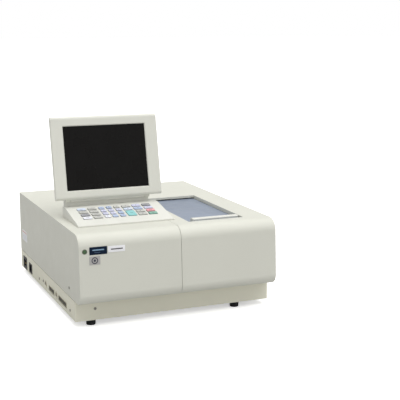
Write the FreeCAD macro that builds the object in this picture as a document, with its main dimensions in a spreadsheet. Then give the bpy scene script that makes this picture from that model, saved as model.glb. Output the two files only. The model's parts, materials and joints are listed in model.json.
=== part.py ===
import FreeCAD, Part
import math
import os

import Sketcher

# A bench-top double-beam spectrophotometer with a fold-down display and a sloped keyboard.
#
# Frame: millimetres, +Z up, front towards -Y, origin on the bench under the middle of the cabinet.
# Every size is an alias of the sheet, and every feature is bound to the sheet by expressions.

doc = FreeCAD.newDocument("Spectrophotometer")
sheet = doc.addObject("Spreadsheet::Sheet", "Dims")

DIMENSIONS = {
    # cabinet
    "body_width": 500.0,
    "body_depth": 610.0,
    "foot_height": 14.0,
    "base_height": 48.0,
    "top_height": 227.3,
    "seam": 0.9,
    "wall": 3.0,
    "sheet_metal": 2.5,
    "plinth_setback": 47.0,
    "front_lean": 3.2,
    "top_round": 31.0,
    "bottom_round": 25.0,
    "edge_round": 1.5,
    "side_round": 1.0,
    # how far a joined or a cutting solid reaches past a face
    "overlap": 1.0,
    # feet
    "foot_radius": 12.0,
    "foot_left": -208.0,
    "foot_right": 165.0,
    "foot_front": -242.0,
    "foot_rear": 270.0,
    # rear panel, posts and fan opening
    "panel_inset": 3.0,
    "post_radius": 7.0,
    "post_side": 228.0,
    "post_front": -235.0,
    "post_rear": 289.0,
    "standoff_height": 6.0,
    "standoff_radius": 3.0,
    "vent_length": 70.0,
    "vent_width": 4.0,
    "vent_pitch": 10.0,
    "vent_across": -130.0,
    "vent_bottom": 95.0,
    "display_vents": 110.0,
    # lid, its recess and its rails
    "lid_left": 40.0,
    "lid_right": 186.0,
    "lid_front": -246.0,
    "lid_rear": 71.0,
    "lid_drop": 9.0,
    "lid_thick": 3.0,
    "lid_overlap": 5.0,
    "lid_clearance": 0.3,
    "lid_tail": 8.0,
    "rail_thick": 2.0,
    "recess_wall": 2.5,
    "slot_height": 3.2,
    "handle_depth": 20.0,
    "handle_ahead": 24.0,
    "handle_left": 22.0,
    "handle_inset": 1.0,
    "handle_round": 2.0,
    # keyboard and neck
    "board_left": -225.0,
    "board_width": 241.0,
    "board_front": -213.5,
    "board_lip": 3.5,
    "board_slope": 11.3,
    "board_plate": 117.0,
    "board_rear": -72.0,
    "board_wall": 2.2,
    "board_nose": 13.2,
    "neck_left": -222.0,
    "neck_right": -4.0,
    "neck_front": -83.5,
    "neck_thick": 11.5,
    "neck_top": 269.0,
    # keys
    "key_rise": 2.5,
    "key_gap": 0.4,
    "key_flange": 1.2,
    "key_play": 0.3,
    "key_round": 1.0,
    "key_corner": 2.5,
    "key_length": 12.5,
    "key_wide": 21.5,
    "key_narrow": 13.5,
    "row_pitch": 18.2,
    "front_row": 43.5,
    "wide_pitch": 26.6,
    "number_pitch": 19.4,
    "function_column": 35.0,
    "number_column": 85.5,
    "action_column": 148.3,
    # display
    "hinge_back": -86.0,
    "hinge_height": 272.0,
    "hinge_radius": 7.0,
    "hinge_clearance": 0.8,
    "pin_radius": 2.5,
    "pin_length": 20.0,
    "pin_clearance": 0.05,
    "screen_lean": 12.0,
    "screen_left": -248.5,
    "screen_wide": 275.0,
    "screen_tall": 204.0,
    "screen_below": 1.6,
    "screen_ahead": 16.2,
    "screen_corner": 7.0,
    "bezel_thick": 8.0,
    "bezel_wall": 3.0,
    "bezel_roll": 7.0,
    "bezel_round": 2.5,
    "back_step": 1.5,
    "back_thick": 8.0,
    "bulge_inset": 24.0,
    "bulge_depth": 13.0,
    "bulge_round": 12.0,
    "boss_spare": 2.0,
    "view_wide": 211.2,
    "view_tall": 158.4,
    "view_left": 30.7,
    "view_bottom": 21.7,
    "view_bevel": 1.8,
    "panel_margin": 6.0,
    "panel_gap": 0.1,
    "panel_thick": 4.5,
    # front fittings
    "lamp_radius": 4.8,
    "lamp_left": -236.1,
    "lamp_height": 190.6,
    "lamp_length": 16.0,
    "lamp_proud": 1.6,
    "label_thick": 0.6,
    # side fittings, along the left wall of the base
    "inlet_front": 236.0,
    "inlet_wide": 37.0,
    "inlet_bottom": 19.0,
    "inlet_tall": 30.0,
    "inlet_deep": 26.0,
    "inlet_rim": 6.0,
    "blade_thick": 2.0,
    "blade_tall": 5.0,
    "blade_root": 4.0,
    "blade_length": 16.0,
    "switch_front": 175.0,
    "switch_wide": 30.0,
    "switch_bottom": 22.0,
    "switch_tall": 23.0,
    "switch_deep": 24.0,
    "switch_throw": 10.0,
    "switch_back": 2.0,
    "rocker_inset": 8.0,
    "rocker_play": 1.2,
    "rocker_face": 5.5,
    "rocker_side": 4.0,
    "rocker_keel": 8.0,
    "rocker_round": 0.8,
    "flange": 2.0,
    "flange_proud": 1.0,
    "port_height": 33.0,
    "round_port_radius": 9.5,
    "round_port_rear": 21.0,
    "round_port_front": -87.0,
    "serial_rear": -14.0,
    "serial_wide": 54.0,
    "printer_rear": -108.0,
    "printer_wide": 76.0,
    "port_tall": 14.0,
    "port_deep": 10.0,
    "port_wall": 1.2,
    "tongue_thick": 4.0,
    "tongue_inset": 5.0,
    "lug_reach": 6.0,
    "lug_thick": 1.5,
    "core_short": 1.0,
    "fit_gap": 0.2,
    # screws
    "screw_head": 3.4,
    "screw_head_rise": 1.5,
    "screw_shank": 1.8,
    "screw_hole": 1.9,
    "screw_length": 8.0,
    # optics
    "bench_bottom": 70.0,
    "bench_thick": 10.0,
    "bench_side": 236.0,
    "bench_front": -250.0,
    "bench_rear": 270.0,
    "tub_wall": 4.0,
    "tub_left": 44.0,
    "tub_right": 182.0,
    "tub_front": -238.0,
    "tub_rear": -43.0,
    "tub_top": 211.5,
    "beam_height": 150.0,
    "beam_hole": 9.0,
    "axle_above": 10.0,
    "step_below": 30.0,
    "sample_beam": -175.0,
    "reference_beam": -105.0,
    "cuvette": 12.8,
    "cuvette_drop": 38.0,
    "holder_top": 172.0,
    "holder_wide": 30.0,
    "holder_rim": 15.0,
    "axle_radius": 3.0,
    "axle_play": 0.05,
    "turret_x": -160.0,
    "turret_y": 170.0,
    "mirror_x": 60.0,
    "mirror_y": 170.0,
    "wheel_x": -40.0,
    "wheel_y": 100.0,
    "wheel_radius": 30.0,
    "wheel_thick": 4.0,
    "wheel_ahead": 2.0,
    "bracket_wide": 16.0,
    "bracket_front": 6.0,
    "bracket_deep": 14.0,
    "hub_tall": 32.0,
    "optic_thick": 6.0,
    "optic_ahead": 11.0,
    "mirror_length": 40.0,
    "mirror_thick": 8.0,
    "mirror_above": 20.0,
    "lamp_collar": 6.0,
    "detector_x": 192.0,
    "detector_radius": 13.0,
    "detector_length": 38.0,
    "pillar_inset": 10.0,
    "pillar_side": 12.0,
    # electronics and fan
    "circuit_left": -215.0,
    "circuit_right": -70.0,
    "circuit_front": -225.0,
    "circuit_rear": 110.0,
    "board_thick": 1.6,
    "power_left": -205.0,
    "power_wide": 110.0,
    "power_front": 125.0,
    "power_deep": 150.0,
    "power_tall": 40.0,
    "fan_x": 150.0,
    "fan_z": 140.0,
    "fan_side": 92.0,
    "fan_bore": 42.0,
    "fan_deep": 25.0,
    "fan_blade": 40.0,
    "fan_hub": 18.0,
    "fan_opening": 41.0,
    "fan_strut": 5.0,
    "strut_thick": 3.0,
    "pin_behind": 4.0,
    "rotor_behind": 3.0,
    "rotor_deep": 16.0,
    "blade_plate": 1.6,
    "blade_wide": 15.0,
    "blade_buried": 3.0,
    "blade_pitch": 35.0,
}

for row, (alias, size) in enumerate(DIMENSIONS.items(), start=1):
    sheet.set("A%d" % row, alias.replace("_", " "))
    sheet.set("B%d" % row, str(size))
    sheet.setAlias("B%d" % row, alias)
doc.recompute()

# Places that many sub-parts share, as expressions over the sheet.
HALF_WIDTH = "(Dims.body_width / 2)"
HALF_DEPTH = "(Dims.body_depth / 2)"
BASE_TOP = "(Dims.foot_height + Dims.base_height)"
FLOOR = "(Dims.foot_height + Dims.sheet_metal)"
COVER_FOOT = "(Dims.foot_height + Dims.base_height + Dims.seam)"
PLINTH_FRONT = "(Dims.plinth_setback - Dims.body_depth / 2)"
FRONT_CORNER = (
    "(-Dims.body_depth / 2 - Dims.bottom_round"
    " * (tan(Dims.front_lean) + 1 / cos(Dims.front_lean) - 1))"
)
LID_TOP = "(Dims.top_height - Dims.lid_drop)"
LID_FOOT = "(Dims.top_height - Dims.lid_drop - Dims.lid_thick)"
SKIN_FOOT = "(Dims.top_height - Dims.wall)"
BENCH_TOP = "(Dims.bench_bottom + Dims.bench_thick)"
PLATE_RUN = "(Dims.board_plate * cos(Dims.board_slope))"
PLATE_FRONT_Z = "(Dims.top_height + Dims.board_lip)"
DECK_Z = "(Dims.top_height + Dims.board_lip + Dims.board_plate * sin(Dims.board_slope))"
PANEL_FACE = "(Dims.body_depth / 2 - Dims.sheet_metal - Dims.panel_inset)"
STEP_TOP = "(Dims.beam_height - Dims.step_below)"
BARREL_LEFT = "(Dims.neck_left + Dims.pin_length / 2 + Dims.boss_spare + Dims.hinge_clearance)"
BARREL_RIGHT = "(Dims.neck_right - Dims.pin_length / 2 - Dims.boss_spare - Dims.hinge_clearance)"

X_AXIS = FreeCAD.Vector(1, 0, 0)
Y_AXIS = FreeCAD.Vector(0, 1, 0)
Z_AXIS = FreeCAD.Vector(0, 0, 1)
FACING = {"top": "XY_Plane", "front": "XZ_Plane", "side": "YZ_Plane"}
NEAR = 0.05

subparts = []


# ---------------------------------------------------------------- helpers

def value(expression):
    """The number that an expression over the sheet gives."""
    return float(sheet.evalExpression(str(expression)))


def front_face_y(height):
    """Where the leaning front face stands at a height, as an expression."""
    return "(%s + (%s - %s) * tan(Dims.front_lean))" % (FRONT_CORNER, height, COVER_FOOT)


def keep(item, label):
    """Register a finished sub-part under the name of its file."""
    item.Label = label
    subparts.append(item)
    return item


def place(item, x="0", y="0", z="0", axis=Z_AXIS, angle=None):
    """Put an object somewhere, with its place and turn bound to the sheet."""
    turn = FreeCAD.Rotation(axis, 0 if angle is None else 1)
    item.Placement = FreeCAD.Placement(FreeCAD.Vector(), turn)
    for coordinate, expression in zip("xyz", (x, y, z)):
        item.setExpression("Placement.Base." + coordinate, expression)
    if angle is not None:
        item.setExpression("Placement.Rotation.Angle", angle)
    return item


def box(name, low, high):
    """A block between two corners, each given as three expressions."""
    item = doc.addObject("Part::Box", name)
    for side, start, end in zip(("Length", "Width", "Height"), low, high):
        item.setExpression(side, "(%s) - (%s)" % (end, start))
    return place(item, *low)


def cylinder(name, start, direction, radius, length):
    """A round bar that leaves its start point along a direction."""
    item = doc.addObject("Part::Cylinder", name)
    item.setExpression("Radius", radius)
    item.setExpression("Height", length)
    place(item, *start)
    item.Placement = FreeCAD.Placement(item.Placement.Base, FreeCAD.Rotation(Z_AXIS, direction))
    for coordinate, expression in zip("xyz", start):
        item.setExpression("Placement.Base." + coordinate, expression)
    return item


def fuse(name, shapes):
    item = doc.addObject("Part::MultiFuse", name)
    item.Shapes = shapes
    return item


def cut(name, base, tool):
    item = doc.addObject("Part::Cut", name)
    item.Base = base
    item.Tool = tool
    return item


def group(name, shapes):
    """Separate solids that share one node."""
    item = doc.addObject("Part::Compound", name)
    item.Links = shapes
    return item


def new_body(name):
    return doc.addObject("PartDesign::Body", name)


def sketch_on(body, facing, offset="0"):
    """A sketch parallel to one of the body's own planes, at a coordinate along its axis."""
    sketch = body.newObject("Sketcher::SketchObject", body.Name + "_sketch")
    plane = next(f for f in body.Origin.OriginFeatures if f.Role == FACING[facing])
    sketch.AttachmentSupport = (plane, [""])
    sketch.MapMode = "FlatFace"
    along = "-(%s)" % offset if facing == "front" else str(offset)
    sketch.setExpression("AttachmentOffset.Base.z", along)
    return sketch


def pin_point(sketch, geometry, position, x, y):
    """Hold a sketch point at two bound distances from the sketch's origin."""
    for kind, expression in (("DistanceX", x), ("DistanceY", y)):
        limit = Sketcher.Constraint(kind, geometry, position, value(expression))
        index = sketch.addConstraint(limit)
        sketch.setExpression("Constraints[%d]" % index, str(expression))


def outline(sketch, corners):
    """A closed outline through corners (x, y) or (x, y, radius), all of them expressions.

    Each corner is a held construction point. Each side passes through two of them, and a rounded
    corner is an arc that is tangent to both of its sides.
    """
    count = len(corners)
    points = [FreeCAD.Vector(value(c[0]), value(c[1]), 0) for c in corners]
    starts, ends, rounds = [], [], []
    for i, corner in enumerate(corners):
        here = points[i]
        to_last = (points[i - 1] - here).normalize()
        to_next = (points[(i + 1) % count] - here).normalize()
        if len(corner) < 3:
            ends.append(here)
            starts.append(here)
            rounds.append(None)
            continue
        radius = value(corner[2])
        half = to_last.getAngle(to_next) / 2
        reach = radius / math.tan(half)
        centre = here + (to_last + to_next).normalize() * (radius / math.sin(half))
        ends.append(here + to_last * reach)
        starts.append(here + to_next * reach)
        rounds.append((centre, radius))
    held = []
    for corner, point in zip(corners, points):
        held.append(sketch.addGeometry(Part.Point(point), True))
        pin_point(sketch, held[-1], 1, corner[0], corner[1])
    sides = []
    for i in range(count):
        after = (i + 1) % count
        side = sketch.addGeometry(Part.LineSegment(starts[i], ends[after]), False)
        sides.append(side)
        for end, vertex in ((1, i), (2, after)):
            if rounds[vertex] is None:
                sketch.addConstraint(Sketcher.Constraint("Coincident", side, end, held[vertex], 1))
            else:
                sketch.addConstraint(Sketcher.Constraint("PointOnObject", held[vertex], 1, side))
    for i, rounding in enumerate(rounds):
        if rounding is None:
            continue
        centre, radius = rounding
        first = (ends[i] - centre)
        last = (starts[i] - centre)
        turn = first.cross(last).z
        begin, finish = (ends[i], starts[i]) if turn > 0 else (starts[i], ends[i])
        before, after = (1, 2) if turn > 0 else (2, 1)
        angles = [math.atan2(p.y - centre.y, p.x - centre.x) for p in (begin, finish)]
        ring = Part.Circle(centre, Z_AXIS, radius)
        arc = sketch.addGeometry(Part.ArcOfCircle(ring, angles[0], angles[1]), False)
        sketch.addConstraint(Sketcher.Constraint("Tangent", sides[i - 1], 2, arc, before))
        sketch.addConstraint(Sketcher.Constraint("Tangent", sides[i], 1, arc, after))
        index = sketch.addConstraint(Sketcher.Constraint("Radius", arc, radius))
        sketch.setExpression("Constraints[%d]" % index, corners[i][2])
    return sketch


def rectangle(sketch, low, high, radius=None):
    """A rectangle between two corners, rounded when a radius is given."""
    corners = [(low[0], low[1]), (high[0], low[1]), (high[0], high[1]), (low[0], high[1])]
    if radius is not None:
        corners = [corner + (radius,) for corner in corners]
    return outline(sketch, corners)


def circle(sketch, x, y, radius):
    centre = FreeCAD.Vector(value(x), value(y), 0)
    ring = sketch.addGeometry(Part.Circle(centre, Z_AXIS, value(radius)), False)
    pin_point(sketch, ring, 3, x, y)
    index = sketch.addConstraint(Sketcher.Constraint("Radius", ring, value(radius)))
    sketch.setExpression("Constraints[%d]" % index, radius)
    return sketch


def pad(body, sketch, length, backwards=False):
    """Raise a sketch along its normal: +Z, -Y or +X for top, front and side sketches."""
    item = body.newObject("PartDesign::Pad", body.Name + "_pad")
    item.Profile = sketch
    item.setExpression("Length", length)
    item.Reversed = backwards
    return item


def pocket(body, sketch, length, backwards=False):
    """Cut a sketch against its normal, or along it when backwards, and see that material went."""
    doc.recompute()
    before = body.Shape.Volume
    item = body.newObject("PartDesign::Pocket", body.Name + "_pocket")
    item.Profile = sketch
    item.setExpression("Length", length)
    item.Reversed = backwards
    doc.recompute()
    if not body.Shape.Volume < before - NEAR:
        raise RuntimeError("a pocket of %s cuts nothing" % body.Name)
    return item


def edges_where(shape, wanted):
    """Names of the edges whose two ends and middle all pass a test."""
    names = []
    for number, edge in enumerate(shape.Edges, start=1):
        first, last = edge.ParameterRange
        spots = [edge.valueAt(first + (last - first) * part) for part in (0.0, 0.5, 1.0)]
        if all(wanted(spot) for spot in spots):
            names.append("Edge%d" % number)
    return names


def dress(body, kind, size_name, size, wanted):
    """Fillet or chamfer the edges of the body's last feature that pass a test."""
    doc.recompute()
    base = body.Tip
    names = edges_where(base.Shape, wanted)
    if not names:
        raise RuntimeError("no edge of %s to dress" % body.Name)
    item = body.newObject(kind, body.Name + "_edge")
    item.Base = (base, names)
    item.setExpression(size_name, size)
    return item


def rounded(names, radius):
    """Edge names as the list of number, start radius and end radius that a Part fillet takes."""
    return [(int(name[len("Edge"):]), value(radius), value(radius)) for name in names]


def fillet(body, radius, wanted):
    return dress(body, "PartDesign::Fillet", "Radius", radius, wanted)


def chamfer(body, size, wanted):
    return dress(body, "PartDesign::Chamfer", "Size", size, wanted)


# ---------------------------------------------------------------- screws

# Y and Z of the screws in each side wall, X and Z of those in the rear panel and the plinth.
SIDE_SCREWS = (("90", "30"), ("45", "36"), ("-215", "31"), ("-211", "85"))
PANEL_SCREWS = (("-235", "90"), ("235", "90"), ("-235", "205"), ("235", "205"))
PLINTH_SCREWS = (("-201.7", "41.7"),)
ABOVE_SEAM = 62.0


def screw(name, spot, direction):
    """A pan-head screw whose head rests on the wall at a spot, pointing inwards."""
    drive = FreeCAD.Vector(direction)
    head = cylinder(name + "_head", spot, drive * -1, "Dims.screw_head", "Dims.screw_head_rise")
    shank = cylinder(name + "_shank", spot, drive, "Dims.screw_shank", "Dims.screw_length")
    return fuse(name, [head, shank])


def make_case_screws():
    screws = []
    for i, (y, z) in enumerate(SIDE_SCREWS):
        screws.append(screw("left_screw%d" % i, ("-" + HALF_WIDTH, y, z), X_AXIS))
        screws.append(screw("right_screw%d" % i, (HALF_WIDTH, y, z), X_AXIS * -1))
    for i, (x, z) in enumerate(PANEL_SCREWS):
        spot = (x, PANEL_FACE + " + Dims.sheet_metal", z)
        screws.append(screw("panel_screw%d" % i, spot, Y_AXIS * -1))
    for i, (x, z) in enumerate(PLINTH_SCREWS):
        screws.append(screw("plinth_screw%d" % i, (x, PLINTH_FRONT, z), Y_AXIS))
    keep(group("screws", screws), "case_screws")


# ---------------------------------------------------------------- base

POSTS = [
    (x, y)
    for x in ("-Dims.post_side", "0", "Dims.post_side")
    for y in ("Dims.post_front", "Dims.post_rear")
]
STANDOFFS = [("-205", "-215"), ("-80", "-215"), ("-205", "100"), ("-80", "100")]
PANEL_VENTS = 9
DISPLAY_VENTS = 4
# How many slots the fan's grille has on each side of its middle one.
GRILLE_REACH = 4


def vent_slots(sketch, middle, foot, count):
    """Level slots, one above another."""
    for i in range(count):
        low = "%s + %d * Dims.vent_pitch" % (foot, i)
        rectangle(
            sketch,
            (middle + " - Dims.vent_length / 2", low),
            (middle + " + Dims.vent_length / 2", low + " + Dims.vent_width"),
        )


def fan_grille(sketch):
    """Level slots that together fill the fan's round opening, each as long as its chord."""
    for i in range(-GRILLE_REACH, GRILLE_REACH + 1):
        rise = "(%d * Dims.vent_pitch)" % i
        half = "sqrt(Dims.fan_opening ^ 2 - %s ^ 2)" % rise
        middle = "Dims.fan_z + " + rise
        rectangle(
            sketch,
            ("Dims.fan_x - " + half, middle + " - Dims.vent_width / 2"),
            ("Dims.fan_x + " + half, middle + " + Dims.vent_width / 2"),
        )


def base_ports(sketch):
    """Outlines of the connector openings in the left wall."""
    rectangle(
        sketch,
        ("Dims.inlet_front", "Dims.inlet_bottom"),
        ("Dims.inlet_front + Dims.inlet_wide", "Dims.inlet_bottom + Dims.inlet_tall"),
    )
    rectangle(
        sketch,
        ("Dims.switch_front", "Dims.switch_bottom"),
        ("Dims.switch_front + Dims.switch_wide", "Dims.switch_bottom + Dims.switch_tall"),
    )
    for rear, wide in (("Dims.serial_rear", "Dims.serial_wide"), ("Dims.printer_rear", "Dims.printer_wide")):
        rectangle(
            sketch,
            ("%s - %s" % (rear, wide), "Dims.port_height - Dims.port_tall / 2"),
            (rear, "Dims.port_height + Dims.port_tall / 2"),
        )
    for centre in ("Dims.round_port_rear", "Dims.round_port_front"):
        circle(sketch, centre, "Dims.port_height", "Dims.round_port_radius")


def make_base_chassis():
    """Sheet-metal tray with the rear panel, posts for the optical bench and board standoffs."""
    body = new_body("base")
    plan = rectangle(
        sketch_on(body, "top", "Dims.foot_height"),
        ("-" + HALF_WIDTH, PLINTH_FRONT),
        (HALF_WIDTH, HALF_DEPTH),
        "Dims.edge_round",
    )
    pad(body, plan, "Dims.base_height")
    hollow = rectangle(
        sketch_on(body, "top", BASE_TOP),
        ("Dims.sheet_metal - " + HALF_WIDTH, PLINTH_FRONT + " + Dims.sheet_metal"),
        (HALF_WIDTH + " - Dims.sheet_metal", HALF_DEPTH + " - Dims.sheet_metal"),
    )
    pocket(body, hollow, "Dims.base_height - Dims.sheet_metal")
    panel = rectangle(
        sketch_on(body, "top", "Dims.foot_height"),
        ("Dims.wall + Dims.seam - " + HALF_WIDTH, PANEL_FACE),
        (HALF_WIDTH + " - Dims.wall - Dims.seam", PANEL_FACE + " + Dims.sheet_metal"),
    )
    pad(body, panel, "Dims.top_height - Dims.wall - Dims.seam - Dims.foot_height")
    foot = rectangle(
        sketch_on(body, "top", "Dims.foot_height"),
        ("Dims.sheet_metal - " + HALF_WIDTH, PANEL_FACE),
        (HALF_WIDTH + " - Dims.sheet_metal", HALF_DEPTH + " - Dims.sheet_metal"),
    )
    pad(body, foot, "Dims.base_height")
    posts = sketch_on(body, "top", "Dims.foot_height")
    for x, y in POSTS:
        circle(posts, x, y, "Dims.post_radius")
    pad(body, posts, "Dims.bench_bottom - Dims.foot_height")
    standoffs = sketch_on(body, "top", "Dims.foot_height")
    for x, y in STANDOFFS:
        circle(standoffs, x, y, "Dims.standoff_radius")
    pad(body, standoffs, "Dims.sheet_metal + Dims.standoff_height")
    left = sketch_on(body, "side", "-%s - Dims.overlap" % HALF_WIDTH)
    base_ports(left)
    pocket(body, left, "Dims.sheet_metal + Dims.overlap * 2", backwards=True)
    sides = sketch_on(body, "side", "-%s - Dims.overlap" % HALF_WIDTH)
    for y, z in SIDE_SCREWS:
        if float(z) < ABOVE_SEAM:
            circle(sides, y, z, "Dims.screw_hole")
    pocket(body, sides, "Dims.body_width + Dims.overlap * 2", backwards=True)
    plinth = sketch_on(body, "front", PLINTH_FRONT + " - Dims.overlap")
    for x, z in PLINTH_SCREWS:
        circle(plinth, x, z, "Dims.screw_hole")
    pocket(body, plinth, "Dims.sheet_metal + Dims.overlap * 2")
    grille = sketch_on(body, "front", HALF_DEPTH)
    fan_grille(grille)
    pocket(body, grille, "Dims.panel_inset + Dims.sheet_metal * 2", backwards=True)
    rear = sketch_on(body, "front", HALF_DEPTH)
    for x, z in PANEL_SCREWS:
        circle(rear, x, z, "Dims.screw_hole")
    vent_slots(rear, "Dims.vent_across", "Dims.vent_bottom", PANEL_VENTS)
    pocket(body, rear, "Dims.panel_inset + Dims.sheet_metal * 2", backwards=True)
    keep(body, "base_chassis")


def make_rubber_feet():
    """Four round feet, each a short turned pad with a rounded lower edge."""
    feet = []
    for x in ("Dims.foot_left", "Dims.foot_right"):
        for y in ("Dims.foot_front", "Dims.foot_rear"):
            block = cylinder("foot_block", (x, y, "0"), Z_AXIS, "Dims.foot_radius", "Dims.foot_height")
            doc.recompute()
            soft = doc.addObject("Part::Fillet", "foot")
            soft.Base = block
            lower = edges_where(block.Shape, lambda p: p.z < NEAR)
            soft.Edges = rounded(lower, "Dims.edge_round")
            feet.append(soft)
    keep(group("feet", feet), "rubber_feet")


# ---------------------------------------------------------------- covers

def cover_shell(name, left, right, outside):
    """A cover half from one x to another: leaning front, rounded shoulders and eased outer edge."""
    body = new_body(name)
    top_corner = front_face_y("Dims.top_height")
    outer = outline(
        sketch_on(body, "side", left),
        [
            (PLINTH_FRONT, COVER_FOOT),
            (FRONT_CORNER, COVER_FOOT, "Dims.bottom_round"),
            (top_corner, "Dims.top_height", "Dims.top_round"),
            (HALF_DEPTH, "Dims.top_height", "Dims.edge_round"),
            (HALF_DEPTH, COVER_FOOT),
        ],
    )
    pad(body, outer, "(%s) - (%s)" % (right, left))
    edge = value(outside)
    fillet(body, "Dims.side_round", lambda p: abs(p.x - edge) < NEAR)
    return body


def hollow_cover(body, left, right):
    """Cut the inside out of a cover half, leaving its wall. It stays open below and behind."""
    inner_top = front_face_y("Dims.top_height")
    shift = "Dims.wall / cos(Dims.front_lean)"
    below = COVER_FOOT + " - Dims.overlap"
    behind = HALF_DEPTH + " + Dims.overlap"
    foot = COVER_FOOT + " + Dims.wall"
    round_below = "Dims.bottom_round - Dims.wall"
    round_above = "Dims.top_round - Dims.wall"
    inner = outline(
        sketch_on(body, "side", left),
        [
            (PLINTH_FRONT, foot),
            ("%s + %s" % (FRONT_CORNER, shift), foot, round_below),
            ("%s + %s" % (inner_top, shift), SKIN_FOOT, round_above),
            (behind, SKIN_FOOT),
            (behind, below),
            (PLINTH_FRONT, below),
        ],
    )
    pocket(body, inner, "(%s) - (%s)" % (right, left), backwards=True)


def screw_holes_in_cover(body, outside):
    holes = sketch_on(body, "side", outside)
    for y, z in SIDE_SCREWS:
        if float(z) > ABOVE_SEAM:
            circle(holes, y, z, "Dims.screw_hole")
    return holes


def make_left_cover():
    left = "-" + HALF_WIDTH
    right = "-Dims.seam / 2"
    through = "Dims.wall + Dims.overlap * 2"
    body = cover_shell("left_shell", left, right, left)
    hollow_cover(body, left + " + Dims.wall", right + " + Dims.overlap")
    pocket(body, screw_holes_in_cover(body, left + " - Dims.overlap"), through, backwards=True)
    lamp = sketch_on(body, "front", front_face_y("Dims.lamp_height") + " - Dims.overlap")
    circle(lamp, "Dims.lamp_left", "Dims.lamp_height", "Dims.lamp_radius + Dims.pin_clearance")
    pocket(body, lamp, through)
    keep(body, "left_cover")


def rail_profile(sketch, edge, inward):
    """L-shaped rail seen from the front: a ledge under the lid's edge and a web up to the skin."""
    step = "(Dims.lid_clearance + Dims.rail_thick)"
    outside = "(%s - %s * %s)" % (edge, inward, "(Dims.lid_overlap + %s)" % step)
    inside = "(%s + %s * (Dims.lid_overlap + Dims.overlap))" % (edge, inward)
    web = "(%s + %s * Dims.rail_thick)" % (outside, inward)
    low = "%s - %s" % (LID_FOOT, step)
    ledge = LID_FOOT + " - Dims.lid_clearance"
    corners = [
        (outside, low),
        (inside, low),
        (inside, ledge),
        (web, ledge),
        (web, SKIN_FOOT + " + Dims.overlap / 2"),
        (outside, SKIN_FOOT + " + Dims.overlap / 2"),
    ]
    outline(sketch, corners)


def make_right_cover():
    """The right half, with the lid's recess in its top and the two rails that guide the lid.

    The recess has a wall on each side. The rear one stops above the lid, and leaves it a slot.
    """
    left = "Dims.seam / 2"
    right = HALF_WIDTH
    through = "Dims.wall + Dims.overlap * 2"
    body = cover_shell("right_shell", left, right, right)
    hollow_cover(body, left + " - Dims.overlap", right + " - Dims.wall")
    wall_foot = LID_TOP + " + Dims.lid_clearance"
    recess = outline(
        sketch_on(body, "top", wall_foot),
        [
            ("Dims.lid_left - Dims.recess_wall", "Dims.lid_front - Dims.recess_wall"),
            ("Dims.lid_right + Dims.recess_wall", "Dims.lid_front - Dims.recess_wall"),
            ("Dims.lid_right + Dims.recess_wall", "Dims.lid_rear"),
            ("Dims.lid_right", "Dims.lid_rear"),
            ("Dims.lid_right", "Dims.lid_front"),
            ("Dims.lid_left", "Dims.lid_front"),
            ("Dims.lid_left", "Dims.lid_rear"),
            ("Dims.lid_left - Dims.recess_wall", "Dims.lid_rear"),
        ],
    )
    pad(body, recess, "Dims.lid_drop - Dims.lid_clearance - Dims.overlap")
    slot_lip = rectangle(
        sketch_on(body, "top", LID_TOP + " + Dims.slot_height"),
        ("Dims.lid_left - Dims.recess_wall", "Dims.lid_rear"),
        ("Dims.lid_right + Dims.recess_wall", "Dims.lid_rear + Dims.recess_wall"),
    )
    pad(body, slot_lip, "Dims.lid_drop - Dims.slot_height - Dims.overlap")
    rail_front = "Dims.lid_front - Dims.lid_overlap"
    rails = sketch_on(body, "front", rail_front)
    rail_profile(rails, "Dims.lid_left", "1")
    rail_profile(rails, "Dims.lid_right", "(-1)")
    pad(body, rails, "%s - Dims.overlap - (%s)" % (PANEL_FACE, rail_front), backwards=True)
    sill = rectangle(
        sketch_on(body, "top", LID_FOOT + " - Dims.lid_clearance - Dims.rail_thick"),
        ("Dims.lid_left", rail_front),
        ("Dims.lid_right", "Dims.lid_front + Dims.lid_overlap"),
    )
    pad(body, sill, "Dims.rail_thick")
    opening = rectangle(
        sketch_on(body, "top", "Dims.top_height + Dims.overlap"),
        ("Dims.lid_left", "Dims.lid_front"),
        ("Dims.lid_right", "Dims.lid_rear"),
    )
    pocket(body, opening, through)
    pocket(body, screw_holes_in_cover(body, right + " + Dims.overlap"), through)
    keep(body, "right_cover")


def make_sample_lid():
    """Flat sliding lid that passes under the top skin, with a bar to pull behind a finger gap."""
    body = new_body("lid")
    plate = rectangle(
        sketch_on(body, "top", LID_FOOT),
        ("Dims.lid_left - Dims.lid_overlap", "Dims.lid_front + Dims.lid_clearance"),
        ("Dims.lid_right + Dims.lid_overlap", "Dims.lid_rear + Dims.lid_tail"),
    )
    pad(body, plate, "Dims.lid_thick")
    bar_front = "Dims.lid_front + Dims.handle_ahead"
    bar = rectangle(
        sketch_on(body, "top", LID_FOOT),
        ("Dims.lid_left + Dims.handle_left", bar_front),
        ("Dims.lid_right - Dims.handle_inset", bar_front + " + Dims.handle_depth"),
    )
    pad(body, bar, "Dims.lid_thick + Dims.lid_drop")
    top = value("Dims.top_height")
    fillet(body, "Dims.handle_round", lambda p: abs(p.z - top) < NEAR)
    keep(body, "sample_lid")


# ---------------------------------------------------------------- keyboard

WIDE = "Dims.key_wide"
NARROW = "Dims.key_narrow"
LAST_ROW = 3
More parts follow.
